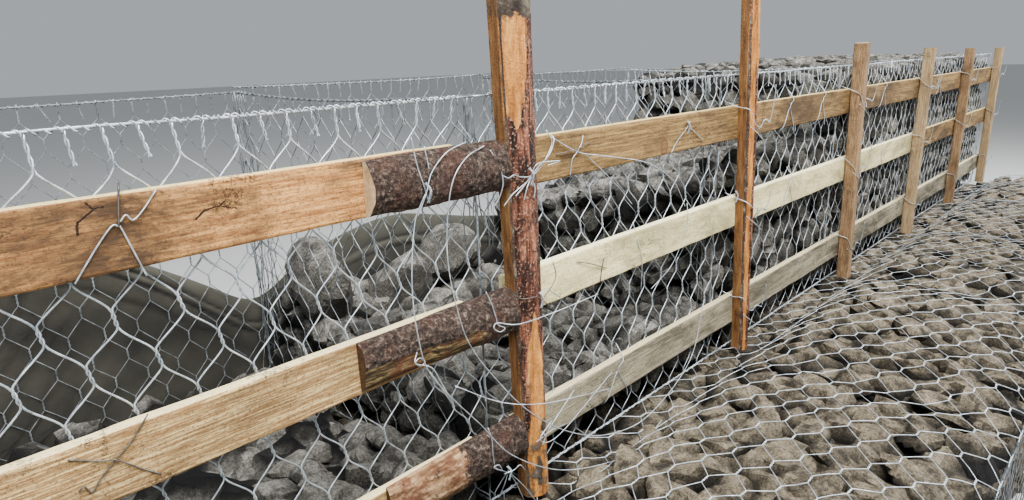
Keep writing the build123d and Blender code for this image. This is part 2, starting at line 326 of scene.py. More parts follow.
def packed_core(low, high, top, counts=(10, 16, 5), size=0.1):
    """The stone behind the outer layer: a box whose top follows the surface given and whose skin
    is pressed in along the crevices between packed blocks, with a tone that is painted shade,
    falling to 0 in the crevices."""
    share, out, faces = box_grid(counts)
    points = np.array(low) + share * (np.array(high) - np.array(low))
    ceiling = top(points[:, 0], points[:, 1]) if callable(top) else np.full(len(points), top)
    points[:, 2] = low[2] + share[:, 2] * (ceiling - low[2])
    inside, value = cobbles(points, size, 3)
    points += out * (0.05 * (inside - 1) + 0.012 * value + 0.006 * relief(points, 0.04, 2))[:, None]
    points[:, 2] = np.maximum(points[:, 2], low[2])
    # Painted shade: the tone falls to 0 in the crevices between blocks, where the finish turns near black
    return points[None], faces, (0.45 + 0.25 * value) * inside**2


def node(tree, kind, feeds=(), **settings):
    """One node of a finish. Settings go on the node itself, feeds are its sockets by name or
    number, each a constant or another node's output."""
    made = tree.nodes.new("ShaderNode" + kind)
    for key, value in settings.items():
        setattr(made, key, value)
    for key, value in dict(feeds).items():
        if isinstance(value, bpy.types.NodeSocket):
            tree.links.new(value, made.inputs[key])
        else:
            made.inputs[key].default_value = value
    return made


def ramp(tree, value, *stops):
    """Colours along a value: stops are pairs of a place from 0 to 1 and a grey, or a colour as
    three screen values."""
    made = node(tree, "ValToRGB", {0: value})
    line = made.color_ramp
    while len(line.elements) < len(stops):
        line.elements.new(0.5)
    for element, (place, colour) in zip(line.elements, stops):
        element.position = place
        element.color = shade(*colour) if isinstance(colour, tuple) else (colour, colour, colour, 1)
    return made.outputs["Color"]


def blend(tree, share, first, second):
    """First colour going over to the second by a share. A plain colour is three screen values."""
    ends = [shade(*colour) if isinstance(colour, tuple) else colour for colour in (first, second)]
    return node(tree, "Mix", {0: share, 6: ends[0], 7: ends[1]}, data_type="RGBA").outputs[2]


def arithmetic(tree, operation, first, second):
    """A Math node's result: the operation on two values."""
    return node(tree, "Math", {0: first, 1: second}, operation=operation).outputs[0]


def times(tree, first, second):
    """Product of two values."""
    return arithmetic(tree, "MULTIPLY", first, second)


def plus(tree, first, second):
    """Sum of two values."""
    return arithmetic(tree, "ADD", first, second)


def on_vectors(tree, operation, first, second=(0.0, 0.0, 0.0), result=0):
    """A Vector Math node's result: the operation on two sets of three values."""
    return node(tree, "VectorMath", {0: first, 1: second}, operation=operation).outputs[result]


def noise(tree, where, scale, detail=4.0, rough=0.55, bend=0.0):
    """Fractal noise: so many lumps a metre, each finer layer weaker by the rough share, with the
    places bent by the noise itself."""
    feeds = {"Vector": where, "Scale": scale, "Detail": detail, "Roughness": rough, "Distortion": bend}
    return node(tree, "TexNoise", feeds).outputs["Fac"]


def stretched(tree, place, scale):
    """Places whose three axes are scaled, so that a pattern grows long where the scale is low."""
    return node(tree, "Mapping", {"Vector": place, "Scale": scale}).outputs["Vector"]


def kept_value(tree, name):
    """A value that put_together keeps on the points."""
    return node(tree, "Attribute", attribute_name=name).outputs["Fac"]


def facing_up(tree):
    """How far a face looks up: the Z part of its normal."""
    return node(tree, "SeparateXYZ", {0: node(tree, "NewGeometry").outputs["Normal"]}).outputs["Z"]


def ragged(tree, value, pattern, depth, low, high):
    """A value's edge made ragged: the pattern less a half, times a depth, is added to the value,
    which then goes from 0 at the low share to 1 at the high one."""
    torn = plus(tree, value, times(tree, arithmetic(tree, "SUBTRACT", pattern, 0.5), depth))
    return ramp(tree, torn, (low, 0.0), (high, 1.0))


def new_finish(name, roughness, metallic=0.0):
    """An empty finish: its tree, its shader and the object's own coordinates."""
    material = bpy.data.materials.new(name)
    material.use_nodes = True
    tree = material.node_tree
    shader = tree.nodes["Principled BSDF"]
    shader.inputs["Roughness"].default_value = roughness
    shader.inputs["Metallic"].default_value = metallic
    return material, tree, shader, node(tree, "TexCoord").outputs["Object"]


def raised(tree, shader, height, depth, strength=1.0):
    """Fine relief: a height between 0 and 1 that stands for a depth in metres."""
    bump = node(tree, "Bump", {"Height": height, "Distance": depth, "Strength": strength})
    tree.links.new(bump.outputs["Normal"], shader.inputs["Normal"])


def basalt(name, dark, light, dust, dust_share):
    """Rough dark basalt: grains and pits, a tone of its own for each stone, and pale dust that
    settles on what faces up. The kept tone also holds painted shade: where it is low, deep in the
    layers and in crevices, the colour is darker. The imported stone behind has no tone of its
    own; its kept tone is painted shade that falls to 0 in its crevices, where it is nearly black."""
    material, tree, shader, place = new_finish(name, 0.86)
    tone = kept_value(tree, "tone")
    grain = noise(tree, place, 150, 7, 0.85)
    blotch = noise(tree, place, 22, 5, 0.6)
    pits = node(tree, "TexVoronoi", {"Vector": place, "Scale": 170}).outputs["Distance"]
    pitted = ramp(tree, noise(tree, place, 48, 3), (0.42, 0.0), (0.58, 1.0))
    speckle = ramp(tree, grain, (0.36, 0.15), (0.5, 0.85), (0.64, 1.9))
    # Painted shade: a low kept tone pulls the colour towards the dark end
    share = times(tree, tone, speckle)
    share = times(tree, share, ramp(tree, blotch, (0.3, 0.65), (0.68, 1.25)))
    colour = blend(tree, share, dark, light)
    pits = times(tree, ramp(tree, pits, (0.14, 0.9), (0.38, 0.0)), pitted)
    colour = blend(tree, pits, colour, (26, 26, 27))
    upper = ramp(tree, facing_up(tree), (0.2, 0.0), (0.95, 1.0))
    settled = times(tree, upper, ramp(tree, blotch, (0.38, 0.0), (0.62, dust_share)))
    settled = times(tree, settled, ramp(tree, tone, (0.08, 0.0), (0.35, 1.0)))
    colour = blend(tree, times(tree, settled, speckle), colour, dust)
    # Painted shade: under a kept tone of 0.1, in crevices and deep in the layers, the colour goes over to
    # near black
    colour = blend(tree, ramp(tree, tone, (0.0, 1.0), (0.1, 0.0)), colour, (17, 17, 18))
    tree.links.new(colour, shader.inputs["Base Color"])
    feeds = {"Vector": place, "Scale": 26.0, "Detail": 9.0, "Roughness": 0.62}
    breaks = node(tree, "TexNoise", feeds, noise_type="RIDGED_MULTIFRACTAL").outputs["Fac"]
    height = plus(tree, times(tree, breaks, 0.8), times(tree, grain, 0.7))
    height = arithmetic(tree, "SUBTRACT", height, times(tree, pits, 0.2))
    raised(tree, shader, height, 0.014)
    return material


clean_basalt = basalt("clean_basalt", (30, 29, 27), (154, 150, 140), (190, 186, 178), 0.75)
dusty_basalt = basalt("dusty_basalt", (16, 14, 11), (144, 133, 114), (178, 165, 142), 0.8)


def stone_piece(name, layers, core, finish, node_name):
    """One basket's stone: its outer layers with a tone for each stone times each layer's painted
    shade, round a dark core whose tone is painted shade in its crevices.
    """
    points, faces, tones, count = [], [], [], 0
    for stones, squares, light in [*layers, core]:
        group = stones.shape[1]
        own = 1.0 if stones is core[0] else np.repeat(random.uniform(0.2, 0.85, len(stones)), group)
        faces.append((squares + count + np.arange(len(stones))[:, None, None] * group).reshape(-1, 4))
        points.append(stones.reshape(-1, 3))
        # Painted shade: each stone's own tone times its layer's depth value, darker deeper in
        tones.append(own * np.ravel(light))
        count += len(points[-1])
    joined = [np.concatenate(faces)]
    tone = np.concatenate(tones)
    put_together(name, np.concatenate(points), joined, [finish], "grey_rock", [node_name], tone=tone)


# Lower course: six filled and lidded baskets side by side. The lid bulges over the stone, dips
# at each seam and lies low along the foot of the upper course, where the posts stand
def lid_height(x, y):
    """Lid level: an arch from the front edge to the foot of the wall, times a dip by a third at
    each seam, with lumps of a few millimetres."""
    along = (x - seams[0]) / bay_length
    bay = 1 - 0.35 * np.abs(2 * (along % 1) - 1) ** 4
    depth = np.clip((y - course_low.y) / (wall_foot_y - course_low.y), 0, 1)
    arch = np.clip(1 - np.abs(2 * depth - 1) ** 5, 0, 1)
    lumps = 0.006 * relief(triple(x, y, 0), 0.16, 4)
    return lid_z + lid_crown * arch * bay + lumps * (arch + 0.15)


wire_gap = 0.004
stone_overlap = 0.02
core_depth = 0.045
base_spacing = 0.11
step_spacing = 0.122
ledge_spacing = 0.1
near_limit = 0.1
for bay in range(bays):
    x0, x1 = seams[bay] + wire_gap, seams[bay + 1] - wire_gap
    first, last = bay == 0, bay == bays - 1
    near = x1 < near_limit
    hold = [
        (x0 - stone_overlap * (not first), x1 + stone_overlap * (not last)),
        (course_low.y + wire_gap, course_high.y - wire_gap),
        (wire_gap, no_ceiling),
    ]
    step = ((x0, x1), (course_low.y + 0.03, front_y + 0.04))
    ledge = ((x0, x1), (back_y + 0.04, course_high.y - 0.03))
    face = ((x0, x1), (0.03, lid_z - 0.05))
    ends = ((course_low.y + 0.05, course_high.y - 0.05), (0.03, lid_z - 0.05))
    layers = [
        laid_stones(
            2, 1, lid_height, step, step_spacing, 5 if near else 3, hold,
            tilt=15, gap=(0.0, 0.022), swell=1.16, fall=3.5,
        ),
        laid_stones(2, 1, lid_height, ledge, ledge_spacing, 2, hold),
        laid_stones(1, -1, course_low.y + wire_gap, face, base_spacing, 2, hold),
        laid_stones(1, 1, course_high.y - wire_gap, face, base_spacing, 2, hold),
    ]
    if first:
        layers.append(laid_stones(0, -1, x0, ends, base_spacing, 2, hold))
    if last:
        layers.append(laid_stones(0, 1, x1, ends, base_spacing, 2, hold))
    core = packed_core(
        (x0 + core_depth * first, course_low.y + core_depth, 0.01),
        (x1 - core_depth * last, course_high.y - core_depth, lid_z),
        lambda x, y: lid_height(x, y) - 0.03,
        (36, 56, 8) if near else (14, 24, 5),
    )
    stone_piece(f"base_rock_{bay + 1}", layers, core, dusty_basalt, f"base_stone_{bay + 1}")


# Upper course: the first basket has only a low spread of stone, the next two hollow heaps, and
# the others are built up face by face and crowned a little above the rim
def share_back(y):
    """0 at the front panel to 1 at the back panel."""
    return np.clip((y - front_y) / (back_y - front_y), 0, 1)


def low_spread(x, y):
    """A floor 40 mm over the lid that rises by the share of the bay to the power 1.5, most in
    front, with lumps."""
    rise = np.clip((x - seams[0]) / bay_length, 0, 1)
    front = np.clip((front_y + 0.55 - y) / 0.5, 0, 1)
    return lid_z + 0.04 + 0.16 * rise**1.5 * front + 0.018 * relief(triple(x, y, 0), 0.2, 8)


def half_heap(x, y):
    """A heap about 0.2 m high, hollow across its middle by a sine and higher at its back left."""
    across = share_back(y)
    left = np.clip((seams[1] + 0.35 - x) / 0.35, 0, 1)
    bowl = 0.235 - 0.11 * np.sin(math.pi * across) + 0.06 * across + 0.12 * left * across
    return lid_z + bowl + 0.03 * relief(triple(x, y, 0), 0.22, 9)


def high_heap(x, y):
    """A heap 0.66 m high in front that falls towards the back, less so on its right."""
    across = share_back(y)
    rise = np.clip((x - seams[2]) / bay_length, 0, 1)
    slope = 0.66 - 0.27 * across**0.8 + 0.11 * rise * across
    return lid_z + slope + 0.028 * relief(triple(x, y, 0), 0.22, 10)


def crowned(x, y):
    """A full basket: just under the rim at its edges, with a dome of 45 mm that falls by the
    fourth power along and across."""
    along = (x - seams[0]) / bay_length % 1
    dome = (1 - np.abs(2 * along - 1) ** 4) * (1 - np.abs(2 * share_back(y) - 1) ** 4)
    return rim_z - 0.012 + 0.045 * dome + 0.012 * relief(triple(x, y, 0), 0.25, 11)


fills = (low_spread, half_heap, high_heap, crowned, crowned, crowned)
spacings = (0.11, 0.11, 0.105, 0.09, 0.085, 0.085)
tops_cells = (5, 5, 4, 3, 2, 2)
faces_cells = (5, 6, 4, 3, 3, 2)
cores_counts = ((34, 34, 14), (34, 34, 14), (30, 24, 22), (12, 10, 10), (12, 10, 10), (12, 10, 10))
boulder_places = [
    (-1.855, 0.66, 0.785), (-1.60, 0.70, 0.72), (-1.885, 0.42, 0.68), (-1.32, 0.72, 0.74),
    (-1.70, 0.45, 0.66),
]
boulder_sizes = [
    (0.30, 0.30, 0.42), (0.27, 0.25, 0.3), (0.22, 0.2, 0.28), (0.26, 0.22, 0.28), (0.24, 0.22, 0.24),
]
boulder_light = 0.62
top_depth = 0.045
for bay, fill in enumerate(fills):
    x0, x1 = seams[bay] + wire_gap, seams[bay + 1] - wire_gap
    sunk = 0.07 if bay == 0 else -0.002
    hold = [(x0, x1), (front_y + wire_gap, back_y - wire_gap), (lid_z - sunk, no_ceiling)]
    middle = (x0 + x1) / 2
    front_top, back_top = (float(fill(middle, y)) for y in (front_y + 0.02, back_y - 0.02))
    spacing = spacings[bay]
    above = ((x0, x1), (front_y + 0.03, back_y - 0.03))
    front = ((x0, x1), (lid_z, front_top - top_depth))
    back = ((x0, x1), (lid_z + 0.04, back_top - top_depth))
    sides = ((front_y + 0.05, back_y - 0.05), (lid_z + 0.04, min(front_top, back_top) - 0.03))
    layers = [
        laid_stones(2, 1, fill, above, spacing, tops_cells[bay], hold, tilt=22 if bay < 2 else 16),
        laid_stones(1, -1, front_y + wire_gap, front, spacing, faces_cells[bay], hold),
        laid_stones(1, 1, back_y - wire_gap, back, spacing * 1.05, 2, hold),
    ]
    if bay == 1:
        boulders, squares = broken_stones(len(boulder_places), cells=9, axis=2, tilt=30)
        boulders = boulders * np.array(boulder_sizes)[:, None] + np.array(boulder_places)[:, None]
        layers.append((boulders, squares, np.full(boulders.shape[:2], boulder_light)))
    if bay in (1, 2, 3):
        layers.append(laid_stones(0, -1, x0, sides, 0.105, 4 if bay == 1 else 3, hold))
    if bay == bays - 1:
        layers.append(laid_stones(0, 1, x1, sides, 0.1, 2, hold))
    core = packed_core(
        (x0 + 0.03, front_y + core_depth, lid_z + 0.01),
        (x1 - 0.03, back_y - core_depth, rim_z),
        lambda x, y: fill(x, y) - 0.04,
        cores_counts[bay],
    )
    stone_piece(f"basket_rock_{bay + 1}", layers, core, clean_basalt, f"stone_fill_{bay + 1}")


# Wire mesh: galvanised 3 mm wire woven on a machine into double-twisted hexagons. Two wires twist
# round each other one and a half turns, part, and each meets its other neighbour a row lower
mesh_radius = 0.0015
thin_radius = 0.0013
edge_radius = 0.002
strand_offset = 0.00165
twist_pitch = 0.0828
row_height = 0.0715
twist_length = 0.031
first_twist = 0.046
edge_lift = 0.004


def zinc(name, light, dark, metal=0.55):
    """Galvanised wire: bright zinc with dull blotches and a fine grain."""
    material, tree, shader, place = new_finish(name, 0.4, metal)
    blotch = noise(tree, place, 55, 4, 0.6)
    tree.links.new(ramp(tree, blotch, (0.3, dark), (0.68, light)), shader.inputs["Base Color"])
    rough = node(tree, "MapRange", {"Value": noise(tree, place, 210, 2), "To Min": 0.3, "To Max": 0.55})
    tree.links.new(rough.outputs["Result"], shader.inputs["Roughness"])
    return material


bright_zinc = zinc("bright_zinc", (222, 228, 232), (146, 156, 164))
dull_zinc = zinc("dull_zinc", (172, 177, 179), (98, 105, 110), 0.4)
old_zinc = zinc("old_zinc", (128, 132, 134), (70, 75, 79), 0.4)


def round_wires(paths, radius, sides, capped=False, normal=None):
    """Round wires swept along rows of points: at each point a ring square to the line through
    its neighbours. Neighbouring rings are joined by squares."""
    paths = np.asarray(paths, float)
    along = np.gradient(paths, axis=1)
    along /= np.maximum(np.linalg.norm(along, axis=2), 1e-9)[..., None]
    if normal is None:
        centred = paths - paths.mean(1, keepdims=True)
        normal = np.linalg.svd(centred, full_matrices=True)[2][:, 2][:, None, :]
    side = np.cross(along, normal)
    side /= np.maximum(np.linalg.norm(side, axis=2), 1e-9)[..., None]
    other = np.cross(side, along)
    turn = np.arange(sides) * 2 * math.pi / sides
    ring = radius * (np.cos(turn)[:, None] * side[:, :, None] + np.sin(turn)[:, None] * other[:, :, None])
    points = (paths[:, :, None] + ring).reshape(-1, 3)
    count, steps = paths.shape[:2]
    squares = grid_squares(steps, sides, True) + np.arange(count)[:, None, None] * steps * sides
    squares = squares.reshape(-1, 4)
    if not capped:
        return points, [squares]
    first = np.arange(sides) + np.arange(count)[:, None] * steps * sides
    return points, [squares, first, first[:, ::-1] + (steps - 1) * sides]


def strands(detail):
    """The two wires of one twist, from half-way down the slope above it to half-way down the
    slope below, as rows of (across, down, depth). Three half turns in between; the near ones
    leave the twist steeply and bend over to the slope: across = s^1.12, down = s^0.94."""
    t = np.linspace(0, 1, {"near": 9, "middle": 4, "far": 2}[detail])
    angle = 3 * math.pi * t
    twist = triple(-np.cos(angle), 0.5 - t, np.sin(angle)) * (strand_offset, twist_length, strand_offset)
    s = np.array((0.12, 0.32, 0.62, 1.0) if detail == "near" else (1.0,))
    across = strand_offset + (twist_pitch / 4 - strand_offset) * s**1.12
    down = twist_length / 2 + (row_height - twist_length) / 2 * s**0.94
    slope = triple(across, -down, 0)
    one = np.concatenate([slope[::-1] * (-1, -1, 1), twist, slope])
    return np.stack([one, one * (-1, 1, -1)])


def hooked_strands(stub):
    """A twist that hangs from the edge wire: its two wires come up, go once round the edge wire
    and run out along it to both sides. A stub is cut off below its twist."""
    length = first_twist * (0.9 if stub else 1)
    round_edge = np.linspace(1.15, 0, 9) * 2 * math.pi
    reach = edge_radius + mesh_radius
    run_out = -0.002 - 0.018 * round_edge / round_edge[0]
    hook = triple(run_out, first_twist / 2 + reach * np.sin(round_edge), -reach * np.cos(round_edge))
    t = np.linspace(0.08, 1, 9)
    angle = 3 * math.pi * t
    height = first_twist / 2 - length * t
    twist = triple(-strand_offset * np.cos(angle), height, strand_offset * np.sin(angle))
    one = np.concatenate([hook, twist])
    if not stub:
        slope = strands("near")[0][-4:]
        one = np.concatenate([one, slope - (0, (first_twist - twist_length) / 2, 0)])
    return np.stack([one, one * (-1, 1, -1)])


def hexagonal_panel(
    across, down, surface, normal, detail, stubs=False, ripple=0.004, seed=0,
    phase=0.0, shear=0.0, radius=mesh_radius, tilt=0.0,
):
    """A panel of mesh between two lengths across its twists and two along them. Rows count down
    from the top edge, every second row moved by half a pitch. surface turns (across, down,
    depth) into places; phase and shear slide the rows, tilt leans the twists, and a smooth
    ripple bends the wires, less within 60 mm of the panel's edges."""
    (u0, u1), (v0, v1) = across, down
    columns = round((u1 - u0) / twist_pitch)
    pitch = (u1 - u0) / columns
    rows = int((v1 - v0 - first_twist) / row_height) + 1
    shapes = strands(detail) * (pitch / twist_pitch, 1, 1)
    half_head, half_twist = first_twist / 2, twist_length / 2
    if detail == "near":
        head, stub = hooked_strands(False), hooked_strands(True)
    else:
        head = shapes.copy()
        head[..., 1] += np.where(head[..., 1] > 0, half_head - half_twist, half_twist - half_head)
        head[..., 0] *= np.where(head[..., 1] > half_head, 0.1, 1.0)
        head[..., 1] = np.minimum(head[..., 1], half_head + 0.001)
        stub = head[:, :-1]
    middles = [v1 - half_head]
    middles += [v1 - first_twist + half_twist - row * row_height for row in range(1, rows + 1)]
    groups = []
    for row, middle in enumerate(middles):
        odd = row % 2
        places = u0 + (np.arange(-1, columns + 1 + odd) + (0 if odd else 0.5)) * pitch + phase
        groups.append(triple(places, middle, 0)[:, None, None] + (shapes if row else head))
    if stubs:
        places = u0 + np.arange(1, columns) * pitch + phase
        made = triple(places, middles[0], 0)[:, None, None] + stub
        hang = np.clip(v1 - edge_lift - made[..., 1], 0, 1)
        made[..., 0] += hang * random.normal(0, 0.16, len(places))[:, None, None]
        made[..., 2] += hang * random.normal(0, 0.12, len(places))[:, None, None]
        groups.append(made)
    wires = []
    for number, group in enumerate(groups):
        body = 0 < number <= rows
        flat = group.reshape(-1, *group.shape[2:])
        flat[..., 0] += shear * (middles[0] - flat[..., 1])
        if body:
            step = flat[..., 1] - middles[number]
            beyond = np.clip((np.abs(step) - half_twist) / (row_height / 2 - half_twist), 0, 1)
            flat[..., 0] -= tilt * np.clip(step, -half_twist, half_twist) * (1 - beyond)
        u, v = flat[..., 0], flat[..., 1]
        flat = flat[(u.max(1) > u0 + 0.004) & (u.min(1) < u1 - 0.004) & (v.max(1) > v0 + 0.006)]
        u = np.clip(flat[..., 0], u0, u1)
        v = np.clip(flat[..., 1], v0, v1 if body or detail != "near" else v1 + edge_lift)
        drift = triple(u, v, seed * 1.7)
        free = ripple * np.clip(np.minimum.reduce([u - u0, u1 - u, v - v0, v1 - v]) / 0.06, 0, 1)
        flat[..., 0] = u + free * (0.8 * relief(drift, 0.11, 21) + relief(drift, 0.33, 22))
        flat[..., 1] = v + free * (0.8 * relief(drift, 0.12, 23) + relief(drift, 0.3, 24))
        flat[..., 2] += free * (relief(drift, 0.1, 25) + 2.0 * relief(drift, 0.42, 26))
        sides = 3 if detail == "far" else 4
        wires.append(round_wires(surface(flat), radius, sides, normal=np.array(normal, float)))
    return wires


def wire_piece(name, wires, nodes=(), finish=bright_zinc):
    """One object from several sets of wires."""
    points, faces, count = [], {}, 0
    for some, sets in wires:
        for squares in sets:
            faces.setdefault(squares.shape[1], []).append(squares + count)
        points.append(some)
        count += len(some)
    joined = [np.concatenate(f) for f in faces.values()]
    slot = "galvanised_wire"
    return put_together(name, np.concatenate(points), joined, [finish], slot, nodes, smooth=True)


def upright_front(y, inner):
    """A panel square to Y: across along X, down along Z, depth towards the inside."""
    return lambda flat: triple(flat[..., 0], y + inner * flat[..., 2], flat[..., 1])


def upright_side(x, sag=0.0):
    """A panel square to X, whose top hangs down by the sag in the middle: the drop is the sag
    times a half sine across, times the height's share squared."""
    def place(flat):
        share = share_back(flat[..., 0])
        height = np.clip((flat[..., 1] - lid_z) / (rim_z - lid_z), 0, 1)
        drop = sag * np.sin(math.pi * share) * height**2
        return triple(x + flat[..., 2], flat[..., 0], flat[..., 1] - drop)

    return place


def lid_surface(flat):
    """The lid: twists run along X, across is Y, and the wires lie on the bulging stone."""
    x, y = flat[..., 1], flat[..., 0]
    return triple(x, y, lid_height(x, y) + mesh_radius + 0.4 * flat[..., 2])


# Edge wires: each panel is wound round a 4 mm edge wire, and neighbouring edges are laced
# together with a thinner wire in open turns, tightened every hand's width
lacing_radius = 0.0012
square_to = np.array((0.31, 0.43, 0.85))


def smooth_line(points, steps):
    """A curve through listed points: Catmull-Rom spans of the given number of steps."""
    points = np.asarray(points, float)
    ends = np.concatenate([[2 * points[0] - points[1]], points, [2 * points[-1] - points[-2]]])
    t = np.linspace(0, 1, steps, endpoint=False)[:, None]
    spans = []
    for a, b, c, d in zip(ends, ends[1:], ends[2:], ends[3:]):
        curve = 2 * b + (c - a) * t + (2 * a - 5 * b + 4 * c - d) * t**2 + (3 * b - a - 3 * c + d) * t**3
        spans.append(0.5 * curve)
    return np.concatenate([*spans, points[-1:]])


def helix_along(line, radius, pitch, per_turn, wander=0.0):
    """A wire wound round a line: a circle of the given radius carried along it, with its pitch
    and radius wandering a little."""
    steps = np.linalg.norm(np.diff(line, axis=0), axis=1)
    reach = np.concatenate([[0], np.cumsum(steps)])
    count = max(8, int(reach[-1] / pitch * per_turn))
    s = np.linspace(0, reach[-1], count)
    centre = np.stack([np.interp(s, reach, line[:, a]) for a in range(3)], 1)
    along = np.gradient(centre, axis=0)
    along /= np.linalg.norm(along, axis=1)[:, None]
    side = np.cross(along, square_to)
    side /= np.linalg.norm(side, axis=1)[:, None]
    other = np.cross(side, along)
    angle = 2 * math.pi * s / pitch + wander * 5 * relief(centre + radius, 0.13, 31)
    size = (radius * (1 + wander * relief(centre, 0.05, 32)))[:, None]
    return centre + size * (np.cos(angle)[:, None] * side + np.sin(angle)[:, None] * other)


def wandering(line, size, first_seed):
    """A small smooth shift along each axis for each point of a line."""
    return np.stack([relief(line, size, first_seed + a) for a in range(3)], 1)


def wound_edge(start, end, sag=0.0, near=True, pitch=0.027, seed=0, wound_too=True):
    """An edge wire from start to end, with the mesh's own wire wound round it unless the mesh
    itself is hooked over it."""
    start, end = np.array(start, float), np.array(end, float)
    t = np.linspace(0, 1, 26)[:, None]
    line = start + (end - start) * t
    line[:, 2] -= sag * np.sin(math.pi * t[:, 0])
    line += 0.0022 * wandering(line, 0.19, seed + 41) * np.sin(math.pi * t) ** 0.3
    wires = [round_wires(line[None], edge_radius, 6 if near else 3, True)]
    if wound_too:
        wound = helix_along(line, edge_radius + mesh_radius * 0.8, pitch, 8 if near else 4, 0.12)
        wires.append(round_wires(wound[None], mesh_radius * 0.85, 4 if near else 3, True, square_to))
    return wires


def laced_seam(start, end, near=True, spread=0.006, seed=0, pitch=0.07, thick=edge_radius):
    """Two edge wires side by side, each bent a little by smooth lumps, with lacing wire wound
    round both in open turns."""
    start, end = np.array(start, float), np.array(end, float)
    line = start + (end - start) * np.linspace(0, 1, 22)[:, None]
    sides = 4 if near else 3
    wires = []
    for k, off in enumerate(((1, -0.6, 0.4), (-1, 0.7, -0.5))):
        bent = line + np.array(off) * spread * 0.4 + 0.002 * wandering(line + k, 0.16, seed + 51)
        wires.append(round_wires(bent[None], thick, sides, True))
    lacing = helix_along(line, spread, pitch, 9 if near else 5, 0.3)
    wires.append(round_wires(lacing[None], min(thick, lacing_radius), sides, True, square_to))
    return wires


def loose_wires(x, y, low, high, count, width, seed):
    """Upright wire ends left tangled in a corner: side by side at the top, wandering and
    spreading downwards."""
    wires = []
    z = np.linspace(high, low, 26)
    fall = np.linspace(0.35, 1, 26)
    for number in range(count):
        place = triple(number * 0.7, z, seed)
        side = (number / max(count - 1, 1) - 0.4) * width * fall
        sway = 0.016 * relief(place, 0.17, 44) + 0.006 * relief(place, 0.05, 45)
        line = triple(x + side + sway, y + 0.02 * relief(place, 0.2, 46), z)
        wires.append(round_wires(line[None, : 26 - 4 * (number % 3)], lacing_radius, 4, True))
    return wires


seam_gap = 0.0006
end_gap = 0.003
panel_inset = 0.002
front_phase = (-0.0075, 0.012, 0.0, 0.0, 0.0, 0.0)
front_shear = (0.062, 0.05, 0.03, 0.0, 0.0, 0.0)
front_tilt = (0.16, 0.12, 0.06, 0.0, 0.0, 0.0)
back_lift = (0.0, 0.014, 0.01, 0.0, 0.0, 0.0)
front_nodes = {0: ["front_mesh_panel_1"], 1: ["front_mesh_panel_2"], 2: ["front_edge_wires"]}
for bay in range(bays):
    x0 = seams[bay] + (end_gap if bay == 0 else seam_gap)
    x1 = seams[bay + 1] - (end_gap if bay == bays - 1 else seam_gap)
    close = bay < 3
    y, foot = front_y + panel_inset, lid_z + edge_lift
    front = hexagonal_panel(
        (x0, x1), (lid_z, rim_z), upright_front(y, 1), (0, -1, 0),
        "near" if bay < 2 else "middle" if close else "far", stubs=True, ripple=0.0045 if close else 0.003,
        seed=bay, phase=front_phase[bay], shear=front_shear[bay], tilt=front_tilt[bay],
    )
    front += wound_edge((x0, y, rim_z), (x1, y, rim_z), 0.0, close, seed=bay, wound_too=bay > 1)
    front += wound_edge((x0, front_y, foot), (x1, front_y, foot), 0, close, pitch=0.03, seed=bay + 9)
    wire_piece(f"front_mesh_{bay + 1}", front, front_nodes.get(bay, []))
    y, top = back_y - panel_inset, rim_z + back_lift[bay]
    back = hexagonal_panel(
        (x0, x1), (lid_z, top), upright_front(y, -1), (0, 1, 0),
        "middle" if close else "far", stubs=True, seed=bay + 6, phase=0.02, radius=0.0012,
    )
    back += wound_edge((x0, y, top), (x1, y, top), 0.006, close, seed=bay + 20)
    back += wound_edge((x0, back_y, foot), (x1, back_y, foot), 0, False, pitch=0.03, seed=bay + 29)
    wire_piece(f"back_mesh_{bay + 1}", back, ["back_edge_wires"] if bay == 0 else [], dull_zinc)

seam_nodes = {0: "left_end_frame", 1: "partition_mesh_panel_1", bays: "right_end_frame"}
for seam, x in enumerate(seams):
    x = min(max(x, seams[0] + end_gap), seams[-1] - end_gap)
    sag = 0.015 if seam in (1, 2, 3) else 0.003
    foot = lid_z + 0.006
    wires = []
    if seam in (0, 1, 2, 3, bays):
        wires += hexagonal_panel(
            (front_y, back_y), (lid_z, rim_z - 0.001), upright_side(x, sag), (1, 0, 0),
            "middle" if seam < 3 else "far", stubs=True, ripple=0.005, seed=seam + 12, radius=thin_radius,
        )
    wires += wound_edge((x, front_y, rim_z), (x, back_y, rim_z), sag, seam < 4, seed=seam + 60)
    wires += wound_edge((x, front_y, foot), (x, back_y, foot), 0, False, pitch=0.05, seed=seam + 70)
    low, high = (x, front_y + end_gap, lid_z), (x, front_y + end_gap, rim_z)
    wires += laced_seam(low, high, seam < 4, spread=0.0018, seed=seam, pitch=0.1, thick=0.0009)
    low, high = (x, back_y - end_gap, lid_z), (x, back_y - end_gap, rim_z)
    wires += laced_seam(low, high, False, spread=0.004, seed=seam + 5, pitch=0.07, thick=0.0014)
    if seam == 1:
        low = lid_z + 0.02
        wires += loose_wires(x + 0.005, back_y - 0.03, low, rim_z + 0.004, count=13, width=0.09, seed=3)
        low = lid_z + 0.6
        wires += loose_wires(x + 0.02, front_y + 0.04, low, rim_z, count=6, width=0.07, seed=8)
    if seam == 2:
        low = lid_z + 0.3
        wires += loose_wires(x + 0.005, back_y - 0.03, low, rim_z, count=4, width=0.05, seed=5)
        low = lid_z + 0.1
        wires += loose_wires(x - 0.02, front_y + 0.03, low, rim_z, count=4, width=0.06, seed=9)
    node_name = seam_nodes.get(seam, f"partition_frame_{seam}")
    wire_piece(f"seam_mesh_{seam}", wires, [node_name], dull_zinc if seam < 3 else bright_zinc)

